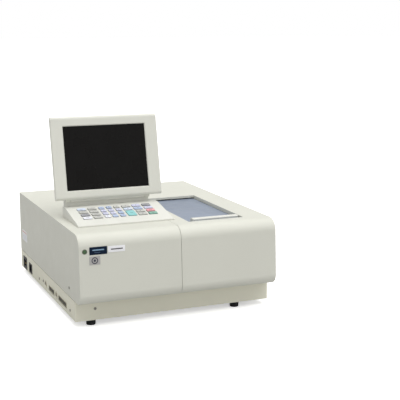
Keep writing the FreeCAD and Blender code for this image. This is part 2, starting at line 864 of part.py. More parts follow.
# Each column: where its centre is, how wide its keys are, and its keys from the back to the front.
COLUMNS = (
    ("Dims.function_column", WIDE, ("f1", "f2", "f3", "f4")),
    ("Dims.function_column + Dims.wide_pitch", WIDE, ("f5", "f6", "f7", "f8")),
    ("Dims.number_column", NARROW, ("7", "4", "1", "0")),
    ("Dims.number_column + Dims.number_pitch", NARROW, ("8", "5", "2", "point")),
    ("Dims.number_column + Dims.number_pitch * 2", NARROW, ("9", "6", "3", "sign")),
    ("Dims.action_column", WIDE, ("clear", "back", "enter")),
    ("Dims.action_column + Dims.wide_pitch", WIDE, ("up", "down", "left", "right")),
    ("Dims.action_column + Dims.wide_pitch * 2", WIDE, ("print", "feed", "stop", "start")),
)


def key_places():
    """Name, x from the plate's left edge, distance up the slope, width and length of each key."""
    for centre, width, names in COLUMNS:
        for row, name in enumerate(names):
            up = "Dims.front_row + %d * Dims.row_pitch" % (LAST_ROW - row)
            length = "Dims.key_length"
            if name == "enter":
                up = "Dims.front_row + Dims.row_pitch / 2"
                length = "(Dims.key_length + Dims.row_pitch)"
            yield name, centre, up, width, length


def plate_point(up):
    """Y and Z of a point on the sloped plate, at a distance up the slope."""
    y = "Dims.board_front + (%s) * cos(Dims.board_slope)" % up
    z = "%s + (%s) * sin(Dims.board_slope)" % (PLATE_FRONT_Z, up)
    return y, z


def make_key(name, centre, up, width, length):
    """A key cap that stands through the plate, with a flange below that stops it coming out."""
    body = new_body("key_" + name)
    flange_top = "(Dims.board_wall + Dims.key_play)"
    flange = rectangle(
        sketch_on(body, "top", "-%s - Dims.key_flange" % flange_top),
        ("-%s / 2 - Dims.key_flange" % width, "-%s / 2 - Dims.key_flange" % length),
        ("%s / 2 + Dims.key_flange" % width, "%s / 2 + Dims.key_flange" % length),
    )
    pad(body, flange, "Dims.key_flange")
    cap = rectangle(
        sketch_on(body, "top", "-%s" % flange_top),
        ("-%s / 2" % width, "-%s / 2" % length),
        ("%s / 2" % width, "%s / 2" % length),
        "Dims.key_corner",
    )
    pad(body, cap, flange_top + " + Dims.key_rise")
    rise = value("Dims.key_rise")
    fillet(body, "Dims.key_round", lambda p: abs(p.z - rise) < NEAR)
    y, z = plate_point(up)
    place(body, "Dims.board_left + " + centre, y, z, X_AXIS, "Dims.board_slope")
    keep(body, "key_" + name)


def key_opening(name, centre, up, width, length):
    """The block that cuts a key's opening through the sloped plate."""
    y, z = plate_point(up)
    opening = doc.addObject("Part::Box", "opening_" + name)
    gap = "Dims.key_gap * 2"
    opening.setExpression("Length", "%s + %s" % (width, gap))
    opening.setExpression("Width", "%s + %s" % (length, gap))
    opening.setExpression("Height", "(Dims.board_wall + Dims.overlap) * 2")
    x = "Dims.board_left + %s - (%s + %s) / 2" % (centre, width, gap)
    back = "(%s + %s) / 2" % (length, gap)
    deep = "(Dims.board_wall + Dims.overlap)"
    low_y = "%s - %s * cos(Dims.board_slope) + %s * sin(Dims.board_slope)" % (y, back, deep)
    low_z = "%s - %s * sin(Dims.board_slope) - %s * cos(Dims.board_slope)" % (z, back, deep)
    return place(opening, x, low_y, low_z, X_AXIS, "Dims.board_slope")


def make_keyboard_housing():
    """Wedge-shaped housing with an opening for each key, and the display's neck on its deck."""
    body = new_body("keyboard")
    right = "Dims.board_left + Dims.board_width"
    plate_rear = "Dims.board_front + " + PLATE_RUN
    side = outline(
        sketch_on(body, "side", "Dims.board_left"),
        [
            ("Dims.board_front", "Dims.top_height"),
            ("Dims.board_front", PLATE_FRONT_Z),
            (plate_rear, DECK_Z),
            ("Dims.board_rear", DECK_Z, "Dims.edge_round * 2"),
            ("Dims.board_rear", "Dims.top_height"),
        ],
    )
    pad(body, side, "Dims.board_width")
    drop = "Dims.board_wall / cos(Dims.board_slope)"
    nose_end = "Dims.board_front + Dims.board_nose"
    nose_top = "%s + Dims.board_nose * tan(Dims.board_slope) - %s" % (PLATE_FRONT_Z, drop)
    below = "Dims.top_height - Dims.overlap"
    inside = outline(
        sketch_on(body, "side", "Dims.board_left + Dims.board_wall"),
        [
            (nose_end, below),
            (nose_end, nose_top),
            (plate_rear, DECK_Z + " - " + drop),
            ("Dims.board_rear - Dims.board_wall", DECK_Z + " - " + drop),
            ("Dims.board_rear - Dims.board_wall", below),
        ],
    )
    pocket(body, inside, "Dims.board_width - Dims.board_wall * 2", backwards=True)
    neck_foot = DECK_Z + " - Dims.overlap"
    neck = outline(
        sketch_on(body, "side", "Dims.neck_left"),
        [
            ("Dims.neck_front", neck_foot),
            ("Dims.neck_front + Dims.neck_thick", neck_foot),
            ("Dims.neck_front + Dims.neck_thick", "Dims.neck_top", "Dims.edge_round * 2"),
            ("Dims.neck_front", "Dims.neck_top"),
        ],
    )
    pad(body, neck, "Dims.neck_right - Dims.neck_left")
    barrel = sketch_on(body, "side", BARREL_LEFT)
    circle(barrel, "Dims.hinge_back", "Dims.hinge_height", "Dims.hinge_radius")
    pad(body, barrel, "%s - %s" % (BARREL_RIGHT, BARREL_LEFT))
    bore_radius = "Dims.pin_radius + Dims.pin_clearance / 2"
    knuckle_radius = "Dims.hinge_radius + Dims.hinge_clearance"
    knuckle_room = "Dims.pin_length / 2 + Dims.boss_spare + Dims.hinge_clearance"
    for start, inwards in ((BARREL_LEFT, True), (BARREL_RIGHT, False)):
        room = circle(
            sketch_on(body, "side", start), "Dims.hinge_back", "Dims.hinge_height", knuckle_radius
        )
        pocket(body, room, knuckle_room, backwards=not inwards)
        bore = circle(sketch_on(body, "side", start), "Dims.hinge_back", "Dims.hinge_height", bore_radius)
        pocket(body, bore, "Dims.pin_length / 2 + Dims.overlap", backwards=inwards)
    sides = (value("Dims.board_left"), value(right))
    above = value("Dims.top_height") + NEAR
    fillet(
        body,
        "Dims.edge_round",
        lambda p: p.z > above and any(abs(p.x - side) < NEAR for side in sides),
    )
    openings = [key_opening(*key) for key in key_places()]
    keep(cut("keyboard_cut", body, fuse("key_openings", openings)), "keyboard_housing")


# ---------------------------------------------------------------- display
# The three display sub-parts are drawn upright around the hinge axis, and then lean back with it.

SCREEN_FRONT = "-Dims.screen_ahead"
SCREEN_FOOT = "-Dims.screen_below"
BEZEL_REAR = "(Dims.bezel_thick - Dims.screen_ahead)"


def lean_back(body):
    """Tilt a display sub-part about the hinge."""
    place(body, "0", "Dims.hinge_back", "Dims.hinge_height", X_AXIS * -1, "Dims.screen_lean")


def screen_outline(sketch, inset="0", radius="Dims.screen_corner"):
    low = ("Dims.screen_left + " + inset, "%s + %s" % (SCREEN_FOOT, inset))
    high = (
        "Dims.screen_left + Dims.screen_wide - (%s)" % inset,
        "%s + Dims.screen_tall - (%s)" % (SCREEN_FOOT, inset),
    )
    return rectangle(sketch, low, high, radius)


def view_window(sketch, margin="0"):
    """The window's outline, or one that is larger by a margin all round."""
    left = "Dims.screen_left + Dims.view_left"
    foot = SCREEN_FOOT + " + Dims.view_bottom"
    low = ("%s - %s" % (left, margin), "%s - %s" % (foot, margin))
    high = ("%s + Dims.view_wide + %s" % (left, margin), "%s + Dims.view_tall + %s" % (foot, margin))
    return rectangle(sketch, low, high)


def make_display_bezel():
    """Front frame of the display: rolled head and foot, hollow behind, and a window with a bevel."""
    body = new_body("bezel")
    head = SCREEN_FOOT + " + Dims.screen_tall"
    profile = outline(
        sketch_on(body, "side", "Dims.screen_left"),
        [
            (SCREEN_FRONT, SCREEN_FOOT, "Dims.bezel_roll"),
            (BEZEL_REAR, SCREEN_FOOT),
            (BEZEL_REAR, head),
            (SCREEN_FRONT, head, "Dims.bezel_roll"),
        ],
    )
    pad(body, profile, "Dims.screen_wide")
    front = value(SCREEN_FRONT)
    behind = value(BEZEL_REAR) - NEAR
    ends = (value("Dims.screen_left"), value("Dims.screen_left + Dims.screen_wide"))
    fillet(
        body, "Dims.bezel_round", lambda p: p.y < behind and any(abs(p.x - end) < NEAR for end in ends)
    )
    hollow = screen_outline(
        sketch_on(body, "front", BEZEL_REAR), "Dims.bezel_wall", "Dims.screen_corner - Dims.bezel_wall"
    )
    pocket(body, hollow, "Dims.bezel_thick - Dims.bezel_wall", backwards=True)
    window = view_window(sketch_on(body, "front", SCREEN_FRONT + " - Dims.overlap"))
    pocket(body, window, "Dims.bezel_wall + Dims.overlap * 2")
    rim = value("Dims.screen_left + Dims.view_left") - NEAR
    far = value("Dims.screen_left + Dims.view_left + Dims.view_wide") + NEAR
    chamfer(body, "Dims.view_bevel", lambda p: abs(p.y - front) < NEAR and rim < p.x < far)
    lean_back(body)
    keep(body, "display_bezel")


def make_display_back():
    """Rear shell with a shallow bulge and vents, and a notch and two bosses for the hinge at its foot."""
    body = new_body("display_shell")
    plate = screen_outline(
        sketch_on(body, "front", BEZEL_REAR), "Dims.back_step", "Dims.screen_corner - Dims.back_step"
    )
    pad(body, plate, "Dims.back_thick", backwards=True)
    rear = BEZEL_REAR + " + Dims.back_thick"
    bulge = screen_outline(sketch_on(body, "front", rear), "Dims.bulge_inset", "Dims.screen_corner * 2")
    pad(body, bulge, "Dims.bulge_depth", backwards=True)
    crown = value(rear + " + Dims.bulge_depth")
    fillet(body, "Dims.bulge_round", lambda p: abs(p.y - crown) < NEAR)
    left_end, right_end = BARREL_LEFT + " - Dims.hinge_clearance", BARREL_RIGHT + " + Dims.hinge_clearance"
    notch = rectangle(
        sketch_on(body, "front", BEZEL_REAR),
        (left_end, SCREEN_FOOT + " - Dims.overlap"),
        (right_end, "Dims.hinge_radius + Dims.hinge_clearance * 2"),
    )
    pocket(body, notch, "Dims.back_thick + Dims.bulge_depth")
    pin_bore = "Dims.pin_radius + Dims.pin_clearance"
    for start, leftwards in ((left_end, True), (right_end, False)):
        boss = circle(sketch_on(body, "side", start), "0", "0", "Dims.hinge_radius")
        pad(body, boss, "Dims.pin_length / 2 + Dims.boss_spare", backwards=leftwards)
        drilled = circle(sketch_on(body, "side", start), "0", "0", pin_bore)
        pocket(body, drilled, "Dims.pin_length / 2", backwards=not leftwards)
    well_inset = "Dims.bulge_inset + Dims.bulge_depth"
    well = screen_outline(sketch_on(body, "front", BEZEL_REAR), well_inset)
    pocket(body, well, "Dims.back_thick + Dims.bulge_depth - Dims.bezel_wall")
    vents = sketch_on(body, "front", BEZEL_REAR)
    vent_slots(vents, "Dims.screen_left + Dims.screen_wide / 2", "Dims.display_vents", DISPLAY_VENTS)
    pocket(body, vents, "Dims.back_thick + Dims.bulge_depth + Dims.overlap")
    lean_back(body)
    keep(body, "display_back")


def make_lcd_panel():
    """The glass panel that shows through the bezel's window."""
    body = new_body("lcd")
    face = SCREEN_FRONT + " + Dims.bezel_wall + Dims.panel_gap"
    plate = view_window(sketch_on(body, "front", face), "Dims.panel_margin")
    pad(body, plate, "Dims.panel_thick", backwards=True)
    lean_back(body)
    keep(body, "lcd_panel")


def make_hinge_pins():
    """Two pins, each half in the neck's barrel and half in a boss of the display."""
    pins = []
    for name, x in (("left_pin", BARREL_LEFT), ("right_pin", BARREL_RIGHT)):
        start = (x + " - Dims.pin_length / 2", "Dims.hinge_back", "Dims.hinge_height")
        pins.append(cylinder(name, start, X_AXIS, "Dims.pin_radius", "Dims.pin_length"))
    keep(group("pins", pins), "hinge_pins")


# ---------------------------------------------------------------- front and side fittings

# Name, left edge, foot, width and height of each small plate on the front.
FRONT_PLATES = (
    ("name_plate", "-225", "182", "42", "18"),
    ("model_plate", "-181", "184.5", "41", "14.5"),
    ("badge_plate", "-226", "159", "26", "19.5"),
)
# Front edge, foot, width and height of the rating plate on the left side.
RATING_PLATE = ("223", "98", "56", "28")
# How far forward or back of the inlet's middle each contact blade stands, and how high over its foot.
INLET_BLADES = ((-7, 12), (7, 12), (0, 18))


def make_power_lamp():
    """Green lamp in the front: a round rod with a domed end."""
    face = front_face_y("Dims.lamp_height")
    start = ("Dims.lamp_left", face + " - Dims.lamp_proud", "Dims.lamp_height")
    rod = cylinder("lamp_rod", start, Y_AXIS, "Dims.lamp_radius", "Dims.lamp_length")
    doc.recompute()
    lamp = doc.addObject("Part::Fillet", "lamp")
    lamp.Base = rod
    front = value(start[1])
    rim = edges_where(rod.Shape, lambda p: p.y < front + NEAR)
    lamp.Edges = rounded(rim, "Dims.lamp_proud")
    keep(lamp, "power_lamp")


def make_label_plates():
    """Three plain plates on the leaning front and the rating plate on the left side."""
    plates = []
    for name, left, foot, wide, tall in FRONT_PLATES:
        plate = doc.addObject("Part::Box", name)
        plate.setExpression("Length", wide)
        plate.setExpression("Width", "Dims.label_thick")
        plate.setExpression("Height", tall)
        face = "%s - Dims.label_thick / cos(Dims.front_lean)" % front_face_y(foot)
        plates.append(place(plate, left, face, foot, X_AXIS * -1, "Dims.front_lean"))
    y, z, wide, tall = RATING_PLATE
    low = ("-%s - Dims.label_thick" % HALF_WIDTH, y, z)
    high = ("-" + HALF_WIDTH, "%s + %s" % (y, wide), "%s + %s" % (z, tall))
    plates.append(box("rating_plate", low, high))
    keep(group("labels", plates), "label_plates")


def flanged_block(name, low, high, deep):
    """A block that fills a side opening, with a flange over the wall around it."""
    body = new_body(name)
    outside = "-" + HALF_WIDTH
    shell = rectangle(
        sketch_on(body, "side", outside),
        ["%s + Dims.fit_gap" % edge for edge in low],
        ["%s - Dims.fit_gap" % edge for edge in high],
    )
    pad(body, shell, deep)
    flange = rectangle(
        sketch_on(body, "side", outside),
        ["%s - Dims.flange" % edge for edge in low],
        ["%s + Dims.flange" % edge for edge in high],
        "Dims.flange",
    )
    pad(body, flange, "Dims.flange_proud", backwards=True)
    return body


def make_power_inlet():
    """Three-pin mains inlet: a flanged housing with a cavity and three blades in it."""
    outside = "-" + HALF_WIDTH
    front, foot = "Dims.inlet_front", "Dims.inlet_bottom"
    rear, head = "Dims.inlet_front + Dims.inlet_wide", "Dims.inlet_bottom + Dims.inlet_tall"
    body = flanged_block("inlet", (front, foot), (rear, head), "Dims.inlet_deep")
    cavity = rectangle(
        sketch_on(body, "side", outside + " - Dims.flange_proud"),
        (front + " + Dims.inlet_rim", foot + " + Dims.inlet_rim"),
        (rear + " - Dims.inlet_rim", head + " - Dims.inlet_rim"),
        "Dims.flange * 2",
    )
    pocket(body, cavity, "Dims.inlet_deep - Dims.inlet_rim", backwards=True)
    blades = sketch_on(body, "side", outside + " + Dims.inlet_deep - Dims.blade_root")
    middle = front + " + Dims.inlet_wide / 2"
    for across, up in INLET_BLADES:
        y = "%s + %d" % (middle, across)
        z = "%s + %d" % (foot, up)
        rectangle(
            blades,
            (y + " - Dims.blade_thick / 2", z + " - Dims.blade_tall / 2"),
            (y + " + Dims.blade_thick / 2", z + " + Dims.blade_tall / 2"),
        )
    pad(body, blades, "Dims.blade_length", backwards=True)
    keep(body, "power_inlet")


def make_power_switch():
    """The switch's frame, with a well for the rocker and a pivot pin across it."""
    outside = "-" + HALF_WIDTH
    front, foot = "Dims.switch_front", "Dims.switch_bottom"
    rear, head = "Dims.switch_front + Dims.switch_wide", "Dims.switch_bottom + Dims.switch_tall"
    body = flanged_block("switch_frame", (front, foot), (rear, head), "Dims.switch_deep")
    well = rectangle(
        sketch_on(body, "side", outside + " - Dims.flange_proud"),
        (front + " + Dims.flange", foot + " + Dims.flange"),
        (rear + " - Dims.flange", head + " - Dims.flange"),
    )
    pocket(body, well, "Dims.switch_deep - Dims.switch_back", backwards=True)
    pivot = circle(
        sketch_on(body, "top", foot + " + Dims.flange / 2"),
        "Dims.rocker_inset - " + HALF_WIDTH,
        front + " + Dims.switch_wide / 2",
        "Dims.pin_radius / 2",
    )
    pad(body, pivot, "Dims.switch_tall - Dims.flange")
    keep(body, "power_switch")


def make_switch_rocker():
    """Rocker with two faces that meet in a shallow V over its pivot, resting with one end pressed."""
    body = new_body("rocker")
    half = "(Dims.switch_wide / 2 - Dims.flange - Dims.rocker_play)"
    tall = "(Dims.switch_tall - Dims.flange * 2 - Dims.key_gap * 2)"
    tip = "-Dims.rocker_face - %s * tan(Dims.switch_throw)" % half
    plan = outline(
        sketch_on(body, "top", "-%s / 2" % tall),
        [
            ("Dims.rocker_side", "-" + half),
            (tip, "-" + half, "Dims.rocker_round"),
            ("-Dims.rocker_face", "0"),
            (tip, half, "Dims.rocker_round"),
            ("Dims.rocker_side", half),
            ("Dims.rocker_keel", "0"),
        ],
    )
    pad(body, plan, tall)
    bore = sketch_on(body, "top", "%s / 2" % tall)
    circle(bore, "0", "0", "Dims.pin_radius / 2 + Dims.pin_clearance")
    pocket(body, bore, tall)
    middle = "Dims.switch_front + Dims.switch_wide / 2"
    height = "Dims.switch_bottom + Dims.switch_tall / 2"
    place(body, "Dims.rocker_inset - " + HALF_WIDTH, middle, height, Z_AXIS * -1, "Dims.switch_throw")
    keep(body, "switch_rocker")


def port_block(name, rear, wide):
    """A flat connector: a shell through the wall, a tongue in its hollow face and lugs behind."""
    outside = "-" + HALF_WIDTH
    face = outside + " - Dims.flange_proud"
    low_y = "%s - %s + Dims.fit_gap" % (rear, wide)
    high_y = rear + " - Dims.fit_gap"
    low_z = "Dims.port_height - Dims.port_tall / 2 + Dims.fit_gap"
    high_z = "Dims.port_height + Dims.port_tall / 2 - Dims.fit_gap"
    shell = box(name + "_shell", (face, low_y, low_z), (outside + " + Dims.port_deep", high_y, high_z))
    hollow = box(
        name + "_hollow",
        (face + " - Dims.overlap", low_y + " + Dims.port_wall", low_z + " + Dims.port_wall"),
        (outside + " + Dims.port_deep / 2", high_y + " - Dims.port_wall", high_z + " - Dims.port_wall"),
    )
    tongue = box(
        name + "_tongue",
        (outside, low_y + " + Dims.tongue_inset", "Dims.port_height - Dims.tongue_thick / 2"),
        (
            outside + " + Dims.port_deep - Dims.core_short",
            high_y + " - Dims.tongue_inset",
            "Dims.port_height + Dims.tongue_thick / 2",
        ),
    )
    behind = outside + " + Dims.sheet_metal"
    lugs = box(
        name + "_lugs",
        (behind, low_y + " - Dims.lug_reach", low_z + " - Dims.flange"),
        (behind + " + Dims.lug_thick", high_y + " + Dims.lug_reach", high_z + " + Dims.flange"),
    )
    return fuse(name, [cut(name + "_can", shell, hollow), tongue, lugs])


def round_port(name, y):
    """A round connector: a can through the wall with a core in its hollow face."""
    outside = "-" + HALF_WIDTH
    face = outside + " - Dims.flange_proud"
    height = "Dims.port_height"
    radius = "Dims.round_port_radius"
    can = cylinder(name + "_can", (face, y, height), X_AXIS, radius + " - Dims.fit_gap", "Dims.port_deep")
    hollow = cylinder(
        name + "_hollow",
        (face + " - Dims.overlap", y, height),
        X_AXIS,
        radius + " - Dims.flange",
        "Dims.port_deep / 2",
    )
    core = cylinder(
        name + "_core",
        (outside, y, height),
        X_AXIS,
        radius + " / 2",
        "Dims.port_deep - Dims.core_short",
    )
    return fuse(name, [cut(name + "_shell", can, hollow), core])


def make_port_connectors():
    ports = [
        port_block("serial_port", "Dims.serial_rear", "Dims.serial_wide"),
        port_block("printer_port", "Dims.printer_rear", "Dims.printer_wide"),
        round_port("accessory_port", "Dims.round_port_rear"),
        round_port("remote_port", "Dims.round_port_front"),
    ]
    keep(group("ports", ports), "port_connectors")


# ---------------------------------------------------------------- optics

WHEEL_PLACES = 6


def make_optics_bench():
    """Cast plate on the posts, with the walls of the sample compartment and the axles it carries."""
    body = new_body("bench")
    plate = rectangle(
        sketch_on(body, "top", "Dims.bench_bottom"),
        ("-Dims.bench_side", "Dims.bench_front"),
        ("Dims.bench_side", "Dims.bench_rear"),
        "Dims.top_round",
    )
    pad(body, plate, "Dims.bench_thick")
    tub = rectangle(
        sketch_on(body, "top", "Dims.bench_bottom"),
        ("Dims.tub_left", "Dims.tub_front"),
        ("Dims.tub_right", "Dims.tub_rear"),
    )
    pad(body, tub, "Dims.tub_top - Dims.bench_bottom")
    well = rectangle(
        sketch_on(body, "top", "Dims.tub_top"),
        ("Dims.tub_left + Dims.tub_wall", "Dims.tub_front + Dims.tub_wall"),
        ("Dims.tub_right - Dims.tub_wall", "Dims.tub_rear - Dims.tub_wall"),
        "Dims.tub_wall",
    )
    pocket(body, well, "Dims.tub_top - " + BENCH_TOP)
    beams = sketch_on(body, "side", "Dims.tub_left - Dims.overlap")
    for y in ("Dims.sample_beam", "Dims.reference_beam"):
        circle(beams, y, "Dims.beam_height", "Dims.beam_hole")
    pocket(body, beams, "Dims.tub_right - Dims.tub_left + Dims.overlap * 2", backwards=True)
    axles = sketch_on(body, "top", "Dims.bench_bottom")
    circle(axles, "Dims.turret_x", "Dims.turret_y", "Dims.axle_radius")
    circle(axles, "Dims.mirror_x", "Dims.mirror_y", "Dims.axle_radius")
    above_beam = "Dims.beam_height + Dims.axle_above - Dims.bench_bottom"
    pad(body, axles, above_beam)
    steps = sketch_on(body, "top", "Dims.bench_bottom")
    circle(steps, "Dims.turret_x", "Dims.turret_y", "Dims.axle_radius * 3")
    circle(steps, "Dims.mirror_x", "Dims.mirror_y", "Dims.axle_radius * 3")
    pad(body, steps, STEP_TOP + " - Dims.bench_bottom")
    bracket_front = "Dims.wheel_y + Dims.bracket_front"
    bracket = rectangle(
        sketch_on(body, "top", "Dims.bench_bottom"),
        ("Dims.wheel_x - Dims.bracket_wide / 2", bracket_front),
        ("Dims.wheel_x + Dims.bracket_wide / 2", bracket_front + " + Dims.bracket_deep"),
    )
    pad(body, bracket, above_beam)
    axle = sketch_on(body, "front", bracket_front + " + Dims.overlap")
    circle(axle, "Dims.wheel_x", "Dims.beam_height", "Dims.axle_radius")
    pad(body, axle, "Dims.bracket_deep")
    keep(body, "optics_bench")


def make_cell_holder():
    """Block with two square wells for cuvettes, and a beam hole through each."""
    body = new_body("holder")
    middle = "(Dims.tub_left + Dims.tub_right) / 2"
    half = "Dims.holder_wide / 2"
    block = rectangle(
        sketch_on(body, "top", BENCH_TOP),
        ("%s - %s" % (middle, half), "Dims.sample_beam - Dims.holder_rim"),
        ("%s + %s" % (middle, half), "Dims.reference_beam + Dims.holder_rim"),
        "Dims.edge_round",
    )
    pad(body, block, "Dims.holder_top - " + BENCH_TOP)
    wells = sketch_on(body, "top", "Dims.holder_top")
    for y in ("Dims.sample_beam", "Dims.reference_beam"):
        rectangle(
            wells,
            ("%s - Dims.cuvette / 2" % middle, y + " - Dims.cuvette / 2"),
            ("%s + Dims.cuvette / 2" % middle, y + " + Dims.cuvette / 2"),
        )
    pocket(body, wells, "Dims.cuvette_drop")
    beams = sketch_on(body, "side", "Dims.tub_left")
    for y in ("Dims.sample_beam", "Dims.reference_beam"):
        circle(beams, y, "Dims.beam_height", "Dims.cuvette / 3")
    pocket(body, beams, "Dims.tub_right - Dims.tub_left", backwards=True)
    keep(body, "cell_holder")


# Name, x, y, bulb radius and bulb height of each light source.
SOURCES = (("arc", "150", "215", "15", "60"), ("halogen", "95", "225", "6", "30"))


def make_source_lamps():
    """The two light sources: an arc lamp and a small halogen lamp, each on its socket."""
    lamps = []
    for name, x, y, radius, tall in SOURCES:
        collar = radius + " + Dims.lamp_collar"
        rise = "%s - %s" % (STEP_TOP, BENCH_TOP)
        socket = cylinder(name + "_socket", (x, y, BENCH_TOP), Z_AXIS, collar, rise)
        bulb = cylinder(name + "_bulb", (x, y, STEP_TOP + " - Dims.overlap"), Z_AXIS, radius, tall)
        lamps.append(fuse(name + "_lamp", [socket, bulb]))
    keep(group("lamps", lamps), "source_lamps")


def make_turning_plate(label, x, y, wide, tall):
    """A flat optic on a hub that turns about an upright axle of the bench."""
    foot = STEP_TOP + " + Dims.lid_clearance"
    hub = cylinder(label + "_hub", (x, y, foot), Z_AXIS, "Dims.axle_radius * 2.5", "Dims.hub_tall")
    front = y + " - Dims.optic_ahead"
    plate = box(
        label + "_plate",
        ("%s - %s / 2" % (x, wide), front, "Dims.beam_height - %s / 2" % tall),
        ("%s + %s / 2" % (x, wide), front + " + Dims.optic_thick", "Dims.beam_height + %s / 2" % tall),
    )
    bore = cylinder(
        label + "_bore",
        (x, y, foot + " - Dims.overlap"),
        Z_AXIS,
        "Dims.axle_radius + Dims.axle_play",
        "Dims.hub_tall + Dims.step_below",
    )
    keep(cut(label + "_cut", fuse(label + "_whole", [hub, plate]), bore), label)


def make_filter_wheel():
    """Disc that turns on the bracket's axle, with a ring of filter openings and one blank place."""
    body = new_body("wheel")
    front = "Dims.wheel_y + Dims.wheel_ahead"
    disc = sketch_on(body, "front", front)
    circle(disc, "Dims.wheel_x", "Dims.beam_height", "Dims.wheel_radius")
    pad(body, disc, "Dims.wheel_thick")
    bore = sketch_on(body, "front", front)
    circle(bore, "Dims.wheel_x", "Dims.beam_height", "Dims.axle_radius + Dims.axle_play")
    pocket(body, bore, "Dims.wheel_thick", backwards=True)
    holes = sketch_on(body, "front", front)
    for i in range(WHEEL_PLACES - 1):
        turn = 360 * i / WHEEL_PLACES
        x = "Dims.wheel_x + Dims.wheel_radius * 2 / 3 * cos(%g)" % turn
        z = "Dims.beam_height + Dims.wheel_radius * 2 / 3 * sin(%g)" % turn
        circle(holes, x, z, "Dims.wheel_radius / 5")
    pocket(body, holes, "Dims.wheel_thick", backwards=True)
    keep(body, "filter_wheel")


# Name, x, y and turn of each fixed mirror on the bench.
FIXED_MIRRORS = (
    ("collimator", "-190", "40", "20"),
    ("focus_mirror", "-110", "30", "-15"),
    ("beam_splitter", "0", "-175", "45"),
    ("reference_mirror", "0", "-105", "45"),
)


def make_fixed_mirrors():
    mirrors = []
    for name, x, y, turn in FIXED_MIRRORS:
        mirror = doc.addObject("Part::Box", name)
        mirror.setExpression("Length", "Dims.mirror_length")
        mirror.setExpression("Width", "Dims.mirror_thick")
        mirror.setExpression("Height", "Dims.beam_height + Dims.mirror_above - " + BENCH_TOP)
        mirrors.append(place(mirror, x, y, BENCH_TOP, Z_AXIS, turn))
    keep(group("mirrors", mirrors), "fixed_mirrors")


def make_detectors():
    """One light detector behind each beam, on its own pillar."""
    detectors = []
    for name, y in (("sample", "Dims.sample_beam"), ("reference", "Dims.reference_beam")):
        start = ("Dims.detector_x", y, "Dims.beam_height")
        can = cylinder(name + "_can", start, X_AXIS, "Dims.detector_radius", "Dims.detector_length")
        pillar_left = "Dims.detector_x + Dims.pillar_inset"
        pillar = box(
            name + "_pillar",
            (pillar_left, y + " - Dims.pillar_side / 2", BENCH_TOP),
            (pillar_left + " + Dims.pillar_side", y + " + Dims.pillar_side / 2", "Dims.beam_height"),
        )
        detectors.append(fuse(name + "_detector", [can, pillar]))
    keep(group("detector_pair", detectors), "detectors")


# ---------------------------------------------------------------- electronics and fan

# Left, front, width, depth and height of the larger parts on the main board.
CHIPS = (
    (-190, -190, 40, 40, 4),
    (-130, -190, 30, 30, 4),
    (-190, -100, 24, 60, 9),
    (-140, -60, 30, 60, 12),
)


def make_main_board():
    """Circuit board on its standoffs, with its larger parts."""
    board_z = FLOOR + " + Dims.standoff_height"
    plate = box(
        "board_plate",
        ("Dims.circuit_left", "Dims.circuit_front", board_z),
        ("Dims.circuit_right", "Dims.circuit_rear", board_z + " + Dims.board_thick"),
    )
    pieces = [plate]
    for i, (left, front, wide, deep, tall) in enumerate(CHIPS):
        low = (str(left), str(front), board_z + " + Dims.board_thick / 2")
        high = (str(left + wide), str(front + deep), "%s + Dims.board_thick + %d" % (board_z, tall))
        pieces.append(box("chip%d" % i, low, high))
    keep(fuse("board", pieces), "main_board")


def make_power_supply():
    """Closed sheet-metal box on the floor of the base."""
    body = new_body("supply")
    plan = rectangle(
        sketch_on(body, "top", FLOOR),
        ("Dims.power_left", "Dims.power_front"),
        ("Dims.power_left + Dims.power_wide", "Dims.power_front + Dims.power_deep"),
        "Dims.edge_round",
    )
    pad(body, plan, "Dims.power_tall")
    keep(body, "power_supply")


FAN_BLADES = 7


def make_fan_frame():
    """Square frame with a round throat, struts and the pin that the rotor turns on."""
    body = new_body("frame")
    rear = PANEL_FACE
    half = "Dims.fan_side / 2"
    block = rectangle(
        sketch_on(body, "front", rear),
        ("Dims.fan_x - " + half, "Dims.fan_z - " + half),
        ("Dims.fan_x + " + half, "Dims.fan_z + " + half),
        "Dims.flange * 2",
    )
    pad(body, block, "Dims.fan_deep")
    throat = circle(sketch_on(body, "front", rear), "Dims.fan_x", "Dims.fan_z", "Dims.fan_bore")
    pocket(body, throat, "Dims.fan_deep", backwards=True)
    strut_rear = rear + " - Dims.fan_deep + Dims.strut_thick"
    for wide, tall in (("Dims.fan_side", "Dims.fan_strut"), ("Dims.fan_strut", "Dims.fan_side")):
        strut = rectangle(
            sketch_on(body, "front", strut_rear),
            ("Dims.fan_x - %s / 2" % wide, "Dims.fan_z - %s / 2" % tall),
            ("Dims.fan_x + %s / 2" % wide, "Dims.fan_z + %s / 2" % tall),
        )
        pad(body, strut, "Dims.strut_thick")
    pin = sketch_on(body, "front", rear + " - Dims.pin_behind")
    circle(pin, "Dims.fan_x", "Dims.fan_z", "Dims.pin_radius")
    pad(body, pin, "Dims.fan_deep - Dims.pin_behind - Dims.overlap")
    keep(body, "fan_frame")


